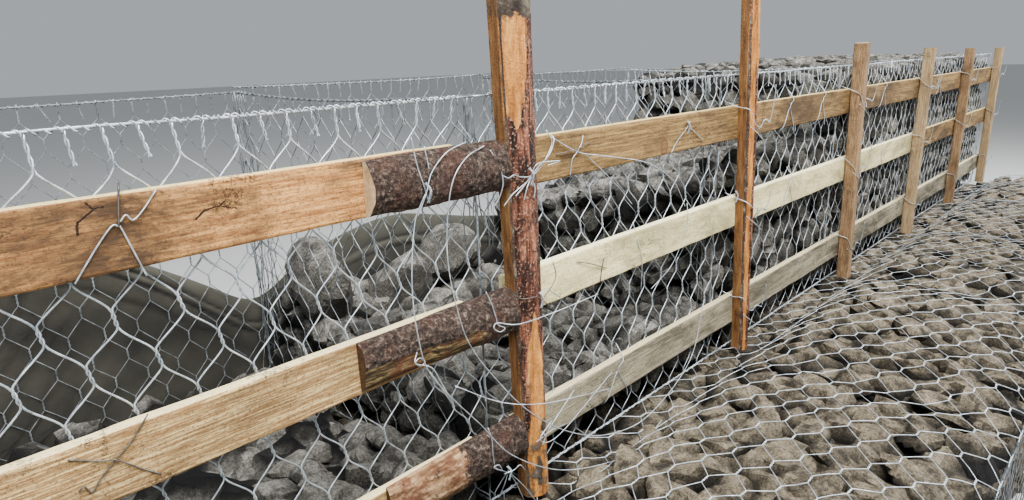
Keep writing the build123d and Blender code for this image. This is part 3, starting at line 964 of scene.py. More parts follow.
# Lower course mesh: its lid lies on the stone with the twists along the wall, its front, back
# and ends stand upright, and all edges are wound and laced like the upper ones
left_x, right_x = seams[0] + end_gap, seams[-1] - end_gap
low_y, high_y = course_low.y + end_gap, course_high.y - end_gap
near_end = 0.3
upwards = (0, 0, 1)
lid = hexagonal_panel(
    (low_y, front_y), (left_x, near_end), lid_surface, upwards, "middle",
    ripple=0.013, seed=30, radius=thin_radius,
)
lid += hexagonal_panel(
    (low_y, front_y), (near_end, right_x), lid_surface, upwards, "far",
    ripple=0.009, seed=30, radius=thin_radius,
)
lid += hexagonal_panel((back_y, high_y), (left_x, right_x), lid_surface, upwards, "far", seed=31)
wire_piece("lid_mesh", lid)

base_wires = []
for y, inner in ((course_low.y + panel_inset, 1), (course_high.y - panel_inset, -1)):
    base_wires += hexagonal_panel(
        (seams[0], seams[-1]), (edge_lift, lid_z), upright_front(y, inner), (0, -inner, 0), "far",
        ripple=0.006, seed=33 + inner, radius=0.0011,
    )
for x in (left_x, right_x):
    base_wires += hexagonal_panel(
        (course_low.y, course_high.y), (edge_lift, lid_z), upright_side(x), (1, 0, 0), "far", seed=36,
    )
for x in seams:
    x = min(max(x, left_x), right_x)
    for y in (low_y, high_y):
        base_wires += laced_seam((x, y, 0.003), (x, y, lid_z), False, spread=0.003)
for y in (course_low.y + edge_lift, course_high.y - edge_lift):
    for low, high in zip(seams, seams[1:]):
        base_wires += laced_seam((low, y, lid_z), (high, y, lid_z), y < 0 and low < -0.5, pitch=0.045)
        base_wires += wound_edge((low, y, edge_lift), (high, y, edge_lift), 0, False, pitch=0.06)
wire_piece("base_mesh", base_wires, ["base_edge_wires"], old_zinc)


# Timber: rough sawn softwood. Old orange boards on the left, new pale ones and weathered grey ones
# on the right, with worn arrises, drying cracks and knots
def split_along(tree, place, start, end, half_width):
    """1 on a straight crack between two spots (x, z) of a board's face, 0 at its half width. The
    nearest spot of the line is its start plus the line times the clamped share t, where t is the
    way from the start projected on the line, over the line's length squared."""
    (x0, z0), (x1, z1) = start, end
    line = (x1 - x0, 0.0, z1 - z0)
    square = line[0] ** 2 + line[2] ** 2
    bend = times(tree, arithmetic(tree, "SUBTRACT", noise(tree, place, 90, 4, 0.7), 0.5), 0.014)
    way = on_vectors(tree, "ADD", place, bend)
    way = on_vectors(tree, "MULTIPLY", way, (1.0, 0.0, 1.0))
    way = on_vectors(tree, "SUBTRACT", way, (x0, 0.0, z0))
    projected = on_vectors(tree, "DOT_PRODUCT", way, line, "Value")
    share = node(tree, "Math", {0: projected, 1: square}, operation="DIVIDE", use_clamp=True).outputs[0]
    nearest = on_vectors(tree, "MULTIPLY", share, line)
    away = on_vectors(tree, "DISTANCE", way, nearest, "Value")
    return ramp(tree, arithmetic(tree, "DIVIDE", away, half_width), (0.35, 1.0), (1.0, 0.0))


def softwood(name, pale, deep, dark, edge, axis, gap, wave, rings, stains, cracks, knots=(), splits=()):
    """Sawn softwood: grain lines of uneven width that follow the axis and sway a little, short
    fibres, stains, grit, drying cracks, and a cleaner tone on what faces up. A knot (x, z, size)
    is a set of rings round that spot, a split a straight crack between two spots."""
    material, tree, shader, place = new_finish(name, 0.84)
    scales = [[share if a == axis else 1.0 for a in range(3)] for share in (0.09, 0.35, 0.02)]
    grain_place, short_place, long_place = (stretched(tree, place, scale) for scale in scales)
    sway = on_vectors(tree, "MULTIPLY", noise(tree, grain_place, 9, 3, 0.5), (wave, wave, wave))
    lines = noise(tree, on_vectors(tree, "ADD", long_place, sway), 2 / gap, 5, 0.7)
    fibre = noise(tree, grain_place, 230, 6, 0.75, 0.2)
    grit = noise(tree, place, 280, 4, 0.8)
    year_rings = ramp(tree, lines, (0.42, 0.0), (0.5, 0.55), (0.56, 1.0), (0.6, 0.25), (0.68, 0.8))
    fibres = times(tree, ramp(tree, fibre, (0.38, 0.0), (0.64, 1.0)), 0.55)
    colour = blend(tree, plus(tree, times(tree, year_rings, rings), fibres), pale, deep)
    blotch = noise(tree, short_place, 8, 7, 0.72, 0.5)
    colour = blend(tree, ramp(tree, blotch, (0.45, 0.0), (0.6, stains)), colour, dark)
    colour = blend(tree, ramp(tree, grit, (0.51, 0.0), (0.64, 0.75)), colour, dark)
    for knot_x, knot_z, knot_size in knots:
        away = on_vectors(tree, "ADD", place, (-knot_x, 0.0, -knot_z))
        away = on_vectors(tree, "MULTIPLY", away, (0.5 / knot_size, 0.0, 0.4 / knot_size))
        reach = on_vectors(tree, "LENGTH", away, result="Value")
        inner_rings = ((0.0, 0.75), (0.12, 0.35), (0.2, 0.8), (0.27, 0.3))
        outer_rings = ((0.36, 0.85), (0.45, 0.9), (0.52, 0.0))
        colour = blend(tree, ramp(tree, reach, *inner_rings, *outer_rings), colour, (112, 78, 48))
    streaks = noise(tree, grain_place, 60, 8, 0.8, 0.3)
    colour = blend(tree, ramp(tree, streaks, (0.6, 0.0), (0.7, cracks)), colour, dark)
    thin = ramp(tree, noise(tree, place, 4.5, 8, 0.72), (0.494, 0.0), (0.5, 1.0), (0.506, 0.0))
    where = ramp(tree, noise(tree, place, 9, 2), (0.54, 0.0), (0.6, cracks))
    gap_mask = times(tree, thin, where)
    for start, end, half_width in splits:
        gap_mask = arithmetic(tree, "MAXIMUM", gap_mask, split_along(tree, place, start, end, half_width))
    colour = blend(tree, gap_mask, colour, (44, 30, 22))
    upper = ramp(tree, facing_up(tree), (0.75, 0.0), (0.92, 0.85))
    upper = times(tree, upper, ramp(tree, grit, (0.5, 1.0), (0.72, 0.2)))
    tree.links.new(blend(tree, upper, colour, edge), shader.inputs["Base Color"])
    height = plus(tree, fibre, times(tree, grit, 0.6))
    raised(tree, shader, arithmetic(tree, "SUBTRACT", height, times(tree, gap_mask, 2.5)), 0.0014)
    return material


arris_radius = 0.004
arris_points = 4
face_points = 3


def timber(name, start, end, width, depth, finish, node_name, slot, wear=0.0016, seed=0):
    """A length of sawn timber: a rounded rectangle carried from start to end, with its faces and,
    more, its arrises worn in by smooth lumps, and closed ends."""
    start, end = np.array(start, float), np.array(end, float)
    length = np.linalg.norm(end - start)
    side = np.array((0.0, 1.0, 0.0))
    other = np.cross((end - start) / length, side)
    other /= np.linalg.norm(other)
    half = np.array((depth / 2, width / 2))
    corners = np.array(((1, 1), (-1, 1), (-1, -1), (1, -1))) * (half - arris_radius)
    flat = np.linspace(0, 1, face_points + 2)[1:-1, None]
    spots = []
    for a, corner in enumerate(corners):
        turn = np.radians(np.linspace(a * 90, a * 90 + 90, arris_points))
        rounding = arris_radius * np.stack([np.cos(turn), np.sin(turn)], 1)
        first = corner + rounding
        last = corners[(a + 1) % 4] + rounding[-1]
        spots += [first, first[-1] + (last - first[-1]) * flat]
    profile = np.concatenate(spots)
    section = profile[:, :1] * side + profile[:, 1:] * other
    steps = max(12, int(length / 0.03))
    points = start + np.linspace(0, 1, steps)[:, None, None] * (end - start) + section
    exposed = np.prod(np.abs(profile) / half, axis=1) ** 4
    lump = relief(points + seed, 0.045, 61) + 0.6 * relief(points + seed, 0.015, 62)
    inward = -section / np.linalg.norm(profile, axis=1)[:, None]
    points += inward * (wear * (exposed * (1.1 + lump) + 0.25 * (1 + lump)))[..., None]
    faces = swept_faces(steps, len(profile))
    put_together(name, points.reshape(-1, 3), faces, [finish], slot, [node_name])


def node_outline(name, near=0.02):
    """Left and right edge of a leaning post at its foot and at its head: the least and greatest X
    of its CAD node's points that lie this near to each end."""
    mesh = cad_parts[name].data
    spots = np.zeros(len(mesh.vertices) * 3)
    mesh.vertices.foreach_get("co", spots)
    x, _, z = spots.reshape(-1, 3).T
    foot = x[z < z.min() + near]
    head = x[z > z.max() - near]
    return (foot.min(), foot.max()), (head.min(), head.max())


orange_splits = [
    ((-2.6917, 1.2646), (-2.6877, 1.2809), 0.0018),
    ((-2.6877, 1.2809), (-2.6672, 1.2941), 0.0014),
    ((-2.6672, 1.2941), (-2.6753, 1.3028), 0.0016),
    ((-2.6672, 1.2941), (-2.6573, 1.2947), 0.001),
    ((-2.5510, 1.2580), (-2.5359, 1.2688), 0.0015),
    ((-2.5359, 1.2688), (-2.5148, 1.2719), 0.0013),
    ((-2.5148, 1.2719), (-2.5069, 1.2775), 0.0013),
    ((-2.5148, 1.2719), (-2.4904, 1.2634), 0.0011),
]
tan_knot = (-1.35, 1.224, 0.019)
old_orange = softwood(
    "old_orange_wood", (238, 184, 120), (152, 102, 60), (76, 58, 42), (232, 214, 160), axis=0,
    gap=0.014, wave=0.06, rings=0.6, stains=0.95, cracks=1.0, splits=orange_splits,
)
old_lined = softwood(
    "old_lined_wood", (238, 211, 156), (152, 118, 78), (88, 68, 48), (240, 226, 180), axis=0,
    gap=0.007, wave=0.012, rings=1.0, stains=0.5, cracks=0.7,
)
new_tan = softwood(
    "new_tan_wood", (186, 154, 102), (112, 86, 52), (66, 50, 34), (226, 204, 146), axis=0,
    gap=0.012, wave=0.02, rings=0.75, stains=0.8, cracks=0.5, knots=[tan_knot],
)
new_cream = softwood(
    "new_cream_wood", (255, 247, 200), (222, 206, 154), (134, 124, 90), (252, 242, 204), axis=0,
    gap=0.01, wave=0.015, rings=0.6, stains=0.6, cracks=0.4,
)
weathered = softwood(
    "weathered_wood", (194, 186, 162), (136, 127, 104), (66, 61, 51), (216, 202, 164), axis=0,
    gap=0.012, wave=0.015, rings=0.75, stains=0.75, cracks=0.8,
)
board_finishes = {
    "top": (old_orange, new_tan, new_tan),
    "middle": (old_lined, new_cream, new_tan),
    "bottom": (old_lined, weathered, weathered),
}
for rail, finishes in board_finishes.items():
    for number, finish in enumerate(finishes, 1):
        low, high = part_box(f"{rail}_board_{number}")
        y = (low.y + high.y) / 2
        z = (low.z + high.z) / 2
        timber(
            f"{rail}_plank_{number}", (low.x, y, z), (high.x, y, z), high.z - low.z, high.y - low.y,
            finish, f"{rail}_board_{number}", "board_timber", seed=number * 3.3,
        )

post_brown = softwood(
    "post_brown_wood", (186, 158, 122), (132, 102, 74), (76, 60, 46), (186, 166, 132), axis=2,
    gap=0.01, wave=0.02, rings=0.7, stains=0.6, cracks=0.6,
)
post_tan = softwood(
    "post_tan_wood", (200, 178, 142), (146, 120, 88), (84, 68, 52), (190, 170, 136), axis=2,
    gap=0.01, wave=0.02, rings=0.6, stains=0.6, cracks=0.6,
)
for number in (1, 4, 5, 6, 7):
    low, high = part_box(f"post_{number}")
    width = high.y - low.y
    foot, head = node_outline(f"post_{number}", 0.01)
    y = (low.y + high.y) / 2
    timber(
        f"sawn_post_{number}", (sum(foot) / 2, y, low.z), (sum(head) / 2, y, high.z), width, width,
        post_tan if number % 2 else post_brown, f"post_{number}", "sawn_post_timber", 0.0022, number * 1.9,
    )


# Log posts: a thick red-brown log sawn on its back and sides, with strips of bark and long bare
# scars, and a thinner split log with one sawn side; both are tied to the rails
def log_finish():
    """Inner bark, red brown and stringy, over bare tan wood where the peel value says so, and
    dark grey outer bark where the crust value says so."""
    material, tree, shader, place = new_finish("split_log", 0.8)
    streak = noise(tree, stretched(tree, place, (1.0, 1.0, 0.12)), 75, 7, 0.72, 0.3)
    blotch = noise(tree, place, 26, 6, 0.7)
    fine = noise(tree, place, 190, 4, 0.7)
    reds = ((0.38, (22, 13, 11)), (0.47, (88, 50, 37)), (0.56, (142, 92, 70)), (0.68, (198, 150, 118)))
    inner = ramp(tree, streak, *reds)
    inner = blend(tree, ramp(tree, blotch, (0.47, 0.0), (0.58, 0.85)), inner, (40, 25, 21))
    inner = blend(tree, ramp(tree, fine, (0.55, 0.0), (0.66, 0.75)), inner, (214, 176, 150))
    bare = ramp(tree, streak, (0.3, (132, 80, 40)), (0.52, (206, 144, 80)), (0.72, (240, 192, 122)))
    bare = blend(tree, ramp(tree, fine, (0.54, 0.0), (0.72, 0.5)), bare, (126, 80, 46))
    bark = ramp(tree, blotch, (0.34, (34, 28, 25)), (0.52, (82, 72, 62)), (0.68, (150, 138, 122)))
    colour = blend(tree, ragged(tree, kept_value(tree, "peel"), streak, 0.9, 0.42, 0.58), inner, bare)
    colour = blend(tree, ragged(tree, kept_value(tree, "crust"), blotch, 1.4, 0.44, 0.56), colour, bark)
    aged = ramp(tree, streak, (0.3, (58, 40, 28)), (0.5, (116, 84, 54)), (0.7, (150, 114, 76)))
    colour = blend(tree, times(tree, kept_value(tree, "sawn"), 0.85), colour, aged)
    tree.links.new(colour, shader.inputs["Base Color"])
    height = plus(tree, streak, times(tree, blotch, 0.9))
    raised(tree, shader, plus(tree, height, times(tree, fine, 0.3)), 0.006)
    return material


split_log = log_finish()
sawn_edge = 0.985


def log_post(name, node_name, flat_depth, peel_of, crust_of, seed):
    """A D-shaped log: straight sawn back and sides, then an arc, carried up a leaning line that
    widens evenly. Lumps on the round side only."""
    low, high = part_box(node_name)
    (foot_left, foot_right), (head_left, head_right) = node_outline(node_name)
    steps = 170
    t = np.linspace(0, 1, steps)[:, None]
    left = foot_left + (head_left - foot_left) * t
    right = foot_right + (head_right - foot_right) * t
    arc = np.linspace(0, 1, 33)
    swing = np.sin(math.pi * arc)
    side = np.linspace(0, 1, 6)[:-1]
    back = np.linspace(1, 0, 8)[1:-1]
    across = np.concatenate([0 * side, arc, 1 + 0 * side, back])
    bulge = flat_depth + swing**0.8 * (high.y - low.y - flat_depth)
    depth = np.concatenate([side * flat_depth, bulge, flat_depth * (1 - side - 0.2), 0 * back])
    round_side = np.concatenate([0 * side, swing, 0 * side, 0 * back])
    height = t * (high.z - low.z)
    points = triple(left + (right - left) * across, high.y - depth, low.z + height)
    long_lumps = relief(points * (1, 1, 0.22) + seed, 0.02, 71)
    lumps = relief(points + seed, 0.03, 72) + 0.5 * relief(points + seed, 0.009, 73)
    face = 2 * across[None] - 1
    values = (peel_of(face, height), crust_of(face, height), np.abs(face) > sawn_edge)
    peel, crust, sawn = (value * np.ones(points.shape[:2]) for value in values)
    swell = 0.0022 * long_lumps + 0.0016 * lumps - 0.003
    swell += 0.003 * np.clip(crust, 0, 1) - 0.0025 * np.clip(peel, 0, 1)
    outward = points - triple((left + right) / 2, high.y - flat_depth, low.z + height)
    outward /= np.maximum(np.linalg.norm(outward, axis=2), 1e-6)[..., None]
    points += outward * (swell * round_side)[..., None]
    points[..., 0] += 0.0025 * relief(points * (0, 0, 1) + seed, 0.09, 74)
    put_together(
        name, points.reshape(-1, 3), swept_faces(steps, len(across)), [split_log], "peeled_log", [node_name],
        peel=peel, crust=crust, sawn=sawn,
    )


def flame(face, height, middle, tip, wide, half):
    """1 on a bare patch of the front with a pointed end at the tip's height that opens to its
    full half width at the other height, 0 away from it."""
    opening = np.clip((height - tip) / (wide - tip), 0, 1) ** 0.7
    return np.clip(1.5 - np.abs(face - middle) / np.maximum(half * opening, 0.001), 0, 1) * (opening > 0)


def thick_peel(face, height):
    """Bare wood: the sawn sides, a pointed scar that opens upwards near the top, and a long one
    that opens downwards to the whole width above the foot."""
    sides = (np.abs(face) > sawn_edge) * 0.62
    scar = 0.72 * flame(face, height, -0.6, 0.825, 0.985, 1.05)
    long_scar = flame(face, height, -0.12, 0.45, 0.36, 0.5)
    foot = flame(face, height, 0.1, 0.26, 0.12, 1.3)
    return np.maximum(np.maximum(sides, foot), np.maximum(scar, long_scar))


def thick_crust(face, height):
    """Grey bark along the arrises of the front and round the top, and dirt on the foot."""
    arris = np.clip((np.abs(face) - 0.86) / 0.06, 0, 1) * (np.abs(face) < sawn_edge) * 0.9
    head = np.clip((height - 1.0) / 0.04, 0, 1) * 0.8
    patch = 0.95 * np.exp(-(((face - 0.25) / 0.4) ** 2) - ((height - 0.17) / 0.035) ** 2)
    streak = 0.78 * np.exp(-(((face + 0.3) / 0.35) ** 2) - ((height - 0.065) / 0.06) ** 2)
    foot = np.maximum(np.maximum(patch, streak), 0.48 * np.clip((0.18 - height) / 0.05, 0, 1))
    return np.maximum(np.maximum(arris, head), foot)


def thin_peel(face, height):
    """Bare wood: the sawn sides, a long scar from the foot that ends at 1.1 m, and most of the
    face from 0.82 m up."""
    sides = (np.abs(face) > sawn_edge) * 0.7
    scar = flame(face, height, -0.55, -0.3, 0.3, 0.24) * np.clip((1.1 - height) / 0.1, 0, 1)
    crown = np.clip((height - 0.82) / 0.1, 0, 1) * 0.6 * (face > -0.85)
    return np.maximum(np.maximum(sides, crown), scar)


def thin_crust(face, height):
    """Bark along both arrises of the front, thinner above 0.85 m."""
    arris = np.clip((np.abs(face) - 0.8) / 0.08, 0, 1) * (np.abs(face) < sawn_edge)
    return arris * np.where(height < 0.85, 0.75, 0.5)


flat_side = 0.024
log_post("thick_log_post", "post_2", flat_side, thick_peel, thick_crust, seed=3.1)
log_post("thin_log_post", "post_3", flat_side, thin_peel, thin_crust, seed=7.7)


# Bark slabs: the first cut off a log, flat behind and round in front, laid over the ends of the
# old boards and tied on. The middle one is half peeled and the lowest tapers to bare wood
def bark_finish(name, wood_dark, wood_mid, wood_light):
    """Pine bark: grey-brown scales with pale flecks and red-brown places, over wood of the colours
    given where the peel value says so."""
    material, tree, shader, place = new_finish(name, 0.9)
    rough = noise(tree, place, 105, 8, 0.8)
    scales = node(tree, "TexVoronoi", {"Vector": place, "Scale": 110.0}).outputs["Distance"]
    fine = noise(tree, place, 240, 4, 0.75)
    greys = ((0.36, (20, 17, 16)), (0.46, (62, 50, 43)), (0.55, (97, 81, 71)), (0.65, (170, 154, 138)))
    colour = ramp(tree, rough, *greys)
    red_places = ramp(tree, noise(tree, place, 14, 5, 0.6), (0.5, 0.0), (0.62, 0.38))
    colour = blend(tree, red_places, colour, (96, 60, 46))
    colour = blend(tree, ramp(tree, scales, (0.0, 0.6), (0.16, 0.0)), colour, (36, 26, 24))
    colour = blend(tree, ramp(tree, fine, (0.63, 0.0), (0.72, 0.85)), colour, (196, 182, 166))
    streak = noise(tree, stretched(tree, place, (0.09, 1.0, 1.0)), 120, 6, 0.7, 0.3)
    wood = ramp(tree, streak, (0.34, wood_dark), (0.5, wood_mid), (0.66, wood_light))
    stains = ramp(tree, noise(tree, place, 34, 6, 0.7), (0.47, 0.0), (0.58, 0.75))
    wood = blend(tree, stains, wood, (122, 76, 56))
    patches = noise(tree, place, 40, 6, 0.7)
    colour = blend(tree, ragged(tree, kept_value(tree, "peel"), patches, 1.1, 0.45, 0.52), colour, wood)
    tree.links.new(colour, shader.inputs["Base Color"])
    height = plus(tree, rough, times(tree, scales, 0.4))
    raised(tree, shader, plus(tree, height, times(tree, fine, 0.3)), 0.008)
    return material


def cut_end_finish(name, dark, light):
    """A cut across the grain: wood with a fine grain."""
    material, tree, shader, place = new_finish(name, 0.8)
    fine = noise(tree, place, 120, 5, 0.7)
    tree.links.new(ramp(tree, fine, (0.3, dark), (0.7, light)), shader.inputs["Base Color"])
    raised(tree, shader, fine, 0.001, 0.8)
    return material


pine_bark = bark_finish("pine_bark", (94, 72, 50), (180, 144, 108), (232, 202, 164))
damp_bark = bark_finish("damp_bark", (40, 34, 24), (92, 78, 52), (204, 176, 126))
fresh_cut = cut_end_finish("fresh_cut", (176, 150, 116), (222, 204, 170))
old_cut = cut_end_finish("old_cut", (52, 38, 28), (110, 84, 60))


def bark_slab(rail, thick_at, peel_of, seed, trim=0.0, cut=old_cut, bark=pine_bark):
    """A D-shaped length along the rail: an arc whose depth changes along it, with bark lumps,
    and a sawn face at each end."""
    low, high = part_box(f"{rail}_bark_slab")
    steps, count = 110, 37
    t = np.linspace(0, 1, steps)[:, None]
    arc = np.linspace(0, math.pi, count)
    thick = thick_at(t)
    half = (high.z - low.z) / 2
    x = low.x + trim + (high.x - low.x - trim) * t
    y = high.y - (high.y - low.y) * thick * np.sin(arc) ** 0.85
    z = (low.z + high.z) / 2 + half * (0.82 + 0.18 * thick) * np.cos(arc)
    points = triple(x, y, z)
    peel = peel_of(t, arc / math.pi) * np.ones((steps, count))
    lumps = relief(points * (0.7, 1, 1) + seed, 0.03, 81) + 0.6 * relief(points + seed, 0.011, 82)
    lumps += 0.35 * relief(points + seed, 0.0045, 83)
    bare = np.clip(peel, 0, 1)
    swell = (0.0032 * lumps + 0.0014) * (1 - 0.7 * bare) - 0.003 * bare - 0.0015
    points += triple(0, -np.sin(arc), np.cos(arc)) * (swell * np.sin(arc) ** 0.5)[..., None]
    points[..., 0] += 0.003 * relief(points * (0, 1, 1) + seed, 0.02, 84) * (1 - t) ** 8
    ring = np.arange(count)[None]
    back = np.arange(steps - 1)[:, None] * count + np.array((0, count - 1, 2 * count - 1, count))
    skin = np.concatenate([grid_squares(steps, count), back])
    faces = [skin, ring, ring[:, ::-1] + (steps - 1) * count]
    put_together(
        f"{rail}_slab", points.reshape(-1, 3), faces, [bark, cut], "bark", [f"{rail}_bark_slab"], peel=peel,
    )


def top_thickness(t):
    """Two thirds of the depth at the left end, full from a quarter of the length."""
    return 0.68 + 0.32 * np.clip(t / 0.25, 0, 1)


def middle_thickness(t):
    """About half the depth on the left and full on the right, with a smooth step between."""
    return 0.55 + 0.12 * t + 0.33 / (1 + np.exp(-(t - 0.42) / 0.03))


def bottom_thickness(t):
    """Under half the depth at the left end, growing by the power 0.8 to full near the right."""
    return 0.42 + 0.58 * np.clip(t / 0.85, 0, 1) ** 0.8


def middle_bare(t, a):
    """Bare wood on the lower half of the left three quarters."""
    return np.clip((a - 0.46) / 0.1, 0, 1) * np.clip((0.8 - t) / 0.15, 0, 1)


def bottom_bare(t, a):
    """Mostly bare wood from the left end to two thirds of the length."""
    return np.clip((0.66 - t) / 0.2, 0, 1) * 0.66


bark_slab("top", top_thickness, lambda t, a: 0.0, seed=1.3, trim=0.036, cut=fresh_cut)
bark_slab("middle", middle_thickness, middle_bare, seed=4.1, trim=-0.02, bark=damp_bark)
bark_slab("bottom", bottom_thickness, bottom_bare, seed=6.4)


# Tie wires: annealed and galvanised wire, 2.5 mm, passed through the mesh and round the rails
# and posts, twisted tight with pliers, with long ends left standing
tie_radius = 0.00125
rail_y = front_y - 0.025
slab_y = rail_y - 0.03
post_y = rail_y - 0.046


def tie(points, steps=8, radius=tie_radius, sides=4):
    """One stiff wire through listed points."""
    return round_wires(smooth_line(points, steps)[None], radius, sides, True)


def twisted_pair(points, turns, radius=0.0017):
    """Two wires twisted round each other along a line."""
    line = smooth_line(points, 6)
    length = np.linalg.norm(np.diff(line, axis=0), axis=1).sum()
    one = helix_along(line, radius, length / turns, 9)
    two = 2 * helix_along(line, 0.0, length / turns, 9) - one
    return [round_wires(wire[None], tie_radius, 4, True, square_to) for wire in (one, two)]


def post_tie(post, plank, leaf):
    """A wire from the mesh above a rail across the front of a post and back below the rail on
    its other side, its two ends twisted together beside the post. leaf adds a slack second turn."""
    low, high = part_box(post)
    plank_low, plank_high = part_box(plank)
    (foot_left, foot_right), (head_left, head_right) = node_outline(post)
    z = (plank_low.z + plank_high.z) / 2
    share = (z - low.z) / (high.z - low.z)
    x0 = foot_left + (head_left - foot_left) * share
    x1 = foot_right + (head_right - foot_right) * share
    drop = random.uniform(-0.02, 0.02, 4)
    loop = [
        (x0 - 0.02, front_y + 0.004, plank_high.z + 0.01),
        (x0 - 0.012, rail_y - 0.004, plank_high.z - 0.004),
        (x0 - 0.004, post_y + 0.008, z + 0.03 + drop[0]),
        (x0 + 0.006, post_y - 0.007, z + drop[1]),
        (x1 - 0.004, post_y - 0.008, z - 0.012 + drop[1]),
        (x1 + 0.004, post_y + 0.008, z - 0.01 + drop[2]),
        (x1 + 0.012, rail_y - 0.005, z - 0.02 + drop[3]),
        (x1 + 0.03, rail_y - 0.004, plank_low.z + 0.004),
        (x1 + 0.032, front_y + 0.004, plank_low.z - 0.012),
    ]
    twist = [(x1 + 0.004, post_y, z - 0.01 + drop[2]), (x1 + 0.02, post_y - 0.008, z + 0.004)]
    twist.append((x1 + 0.038, post_y - 0.016, z - 0.004))
    rise = random.uniform(0.04, 0.11)
    tail = [twist[-1], (x1 + 0.05, post_y - 0.02, z + rise * 0.5), (x1 + 0.045, post_y - 0.024, z + rise)]
    wires = [tie(loop, 5), *twisted_pair(twist, 4), tie(tail, 5)]
    if leaf:
        slack = [(x0 - 0.004, post_y + 0.006, z - 0.01), (x0 + 0.02, post_y - 0.012, z - 0.035)]
        wires.append(tie([*slack, (x1 + 0.01, post_y - 0.016, z - 0.06)], 5))
    return wires


def rail_tie(x, plank, lean):
    """A wire bent over a rail: up through the mesh above it, down its face as a narrow tent and
    back through the mesh below."""
    low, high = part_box(plank)
    face = low.y - 0.0025
    z = (low.z + high.z) / 2
    stem = [(x + 0.03, front_y + 0.002, high.z + 0.03), (x + 0.022, face, high.z - 0.004)]
    stem += [(x + 0.005, face, high.z - 0.02), (x, face, z + 0.018)]
    left_leg = [(x, face, z + 0.018), (x - 0.012, face, z + 0.01), (x - lean, face, low.z + 0.004)]
    left_leg.append((x - lean - 0.006, front_y + 0.002, low.z - 0.02))
    right_leg = [(x, face, z + 0.018), (x + 0.01, face, z), (x + lean * 0.8, face, low.z + 0.004)]
    right_leg.append((x + lean * 0.8 + 0.004, face, low.z - 0.02))
    return [tie(stem, 6), tie(left_leg, 6), tie(right_leg, 6)]


def seen_at(x, y, plane_y):
    """Place on an upright plane behind a pixel of the photograph's frame: the eye plus the
    pixel's ray, times the share of it that reaches the plane."""
    ray = ahead + right * ((x - picture_width / 2) / focal_pixels) - up * ((y - centre_row) / focal_pixels)
    reach = (plane_y - eye.y) / ray.y
    return np.array(eye + ray * reach)


def routed(routes, plane_y, steps=7):
    """Wires whose bends are (pixel across, pixel down, metres in front of an upright plane)."""
    return [tie([seen_at(x, y, plane_y - out) for x, y, out in route], steps) for route in routes.values()]


on_rails = {
    "left_tent": [
        (75, 284, 0.001), (95, 250, 0.002), (111, 227, 0.002), (118, 226, 0.003),
        (121, 228, 0.002), (134, 252, 0.002), (147, 276, 0.002),
    ],
    "left_hook": [
        (156, 190, 0.001), (143, 210, 0.002), (133, 220, 0.003), (126, 215, 0.003), (120, 222, 0.003),
    ],
    "long_over_top_board": [
        (551, 137, 0.004), (578, 152, 0.006), (605, 156, 0.008), (641, 161, 0.007),
        (659, 169, 0.003), (675, 183, -0.01), (685, 206, -0.018),
    ],
    "upright_on_top_board": [
        (583, 130, -0.006), (582, 142, 0.004), (577, 152, 0.006), (572, 160, 0.004), (570, 176, 0.001),
    ],
    "down_from_top_board": [(585, 154, 0.006), (603, 171, 0.001), (621, 190, -0.012), (632, 204, -0.018)],
    "right_end_stem": [(693, 112, -0.014), (688, 126, 0.003), (678, 140, 0.003), (671, 153, 0.002)],
    "right_end_leg": [(688, 126, 0.003), (697, 134, 0.003), (703, 141, 0.002)],
    "middle_board_drop": [(633, 222, -0.01), (639, 246, 0.003), (642, 262, 0.003), (641, 290, -0.006)],
    "middle_right_drop": [
        (687, 203, -0.008), (688, 219, 0.003), (685, 233, 0.003), (678, 252, -0.004),
        (669, 269, -0.012), (651, 289, -0.016),
    ],
}
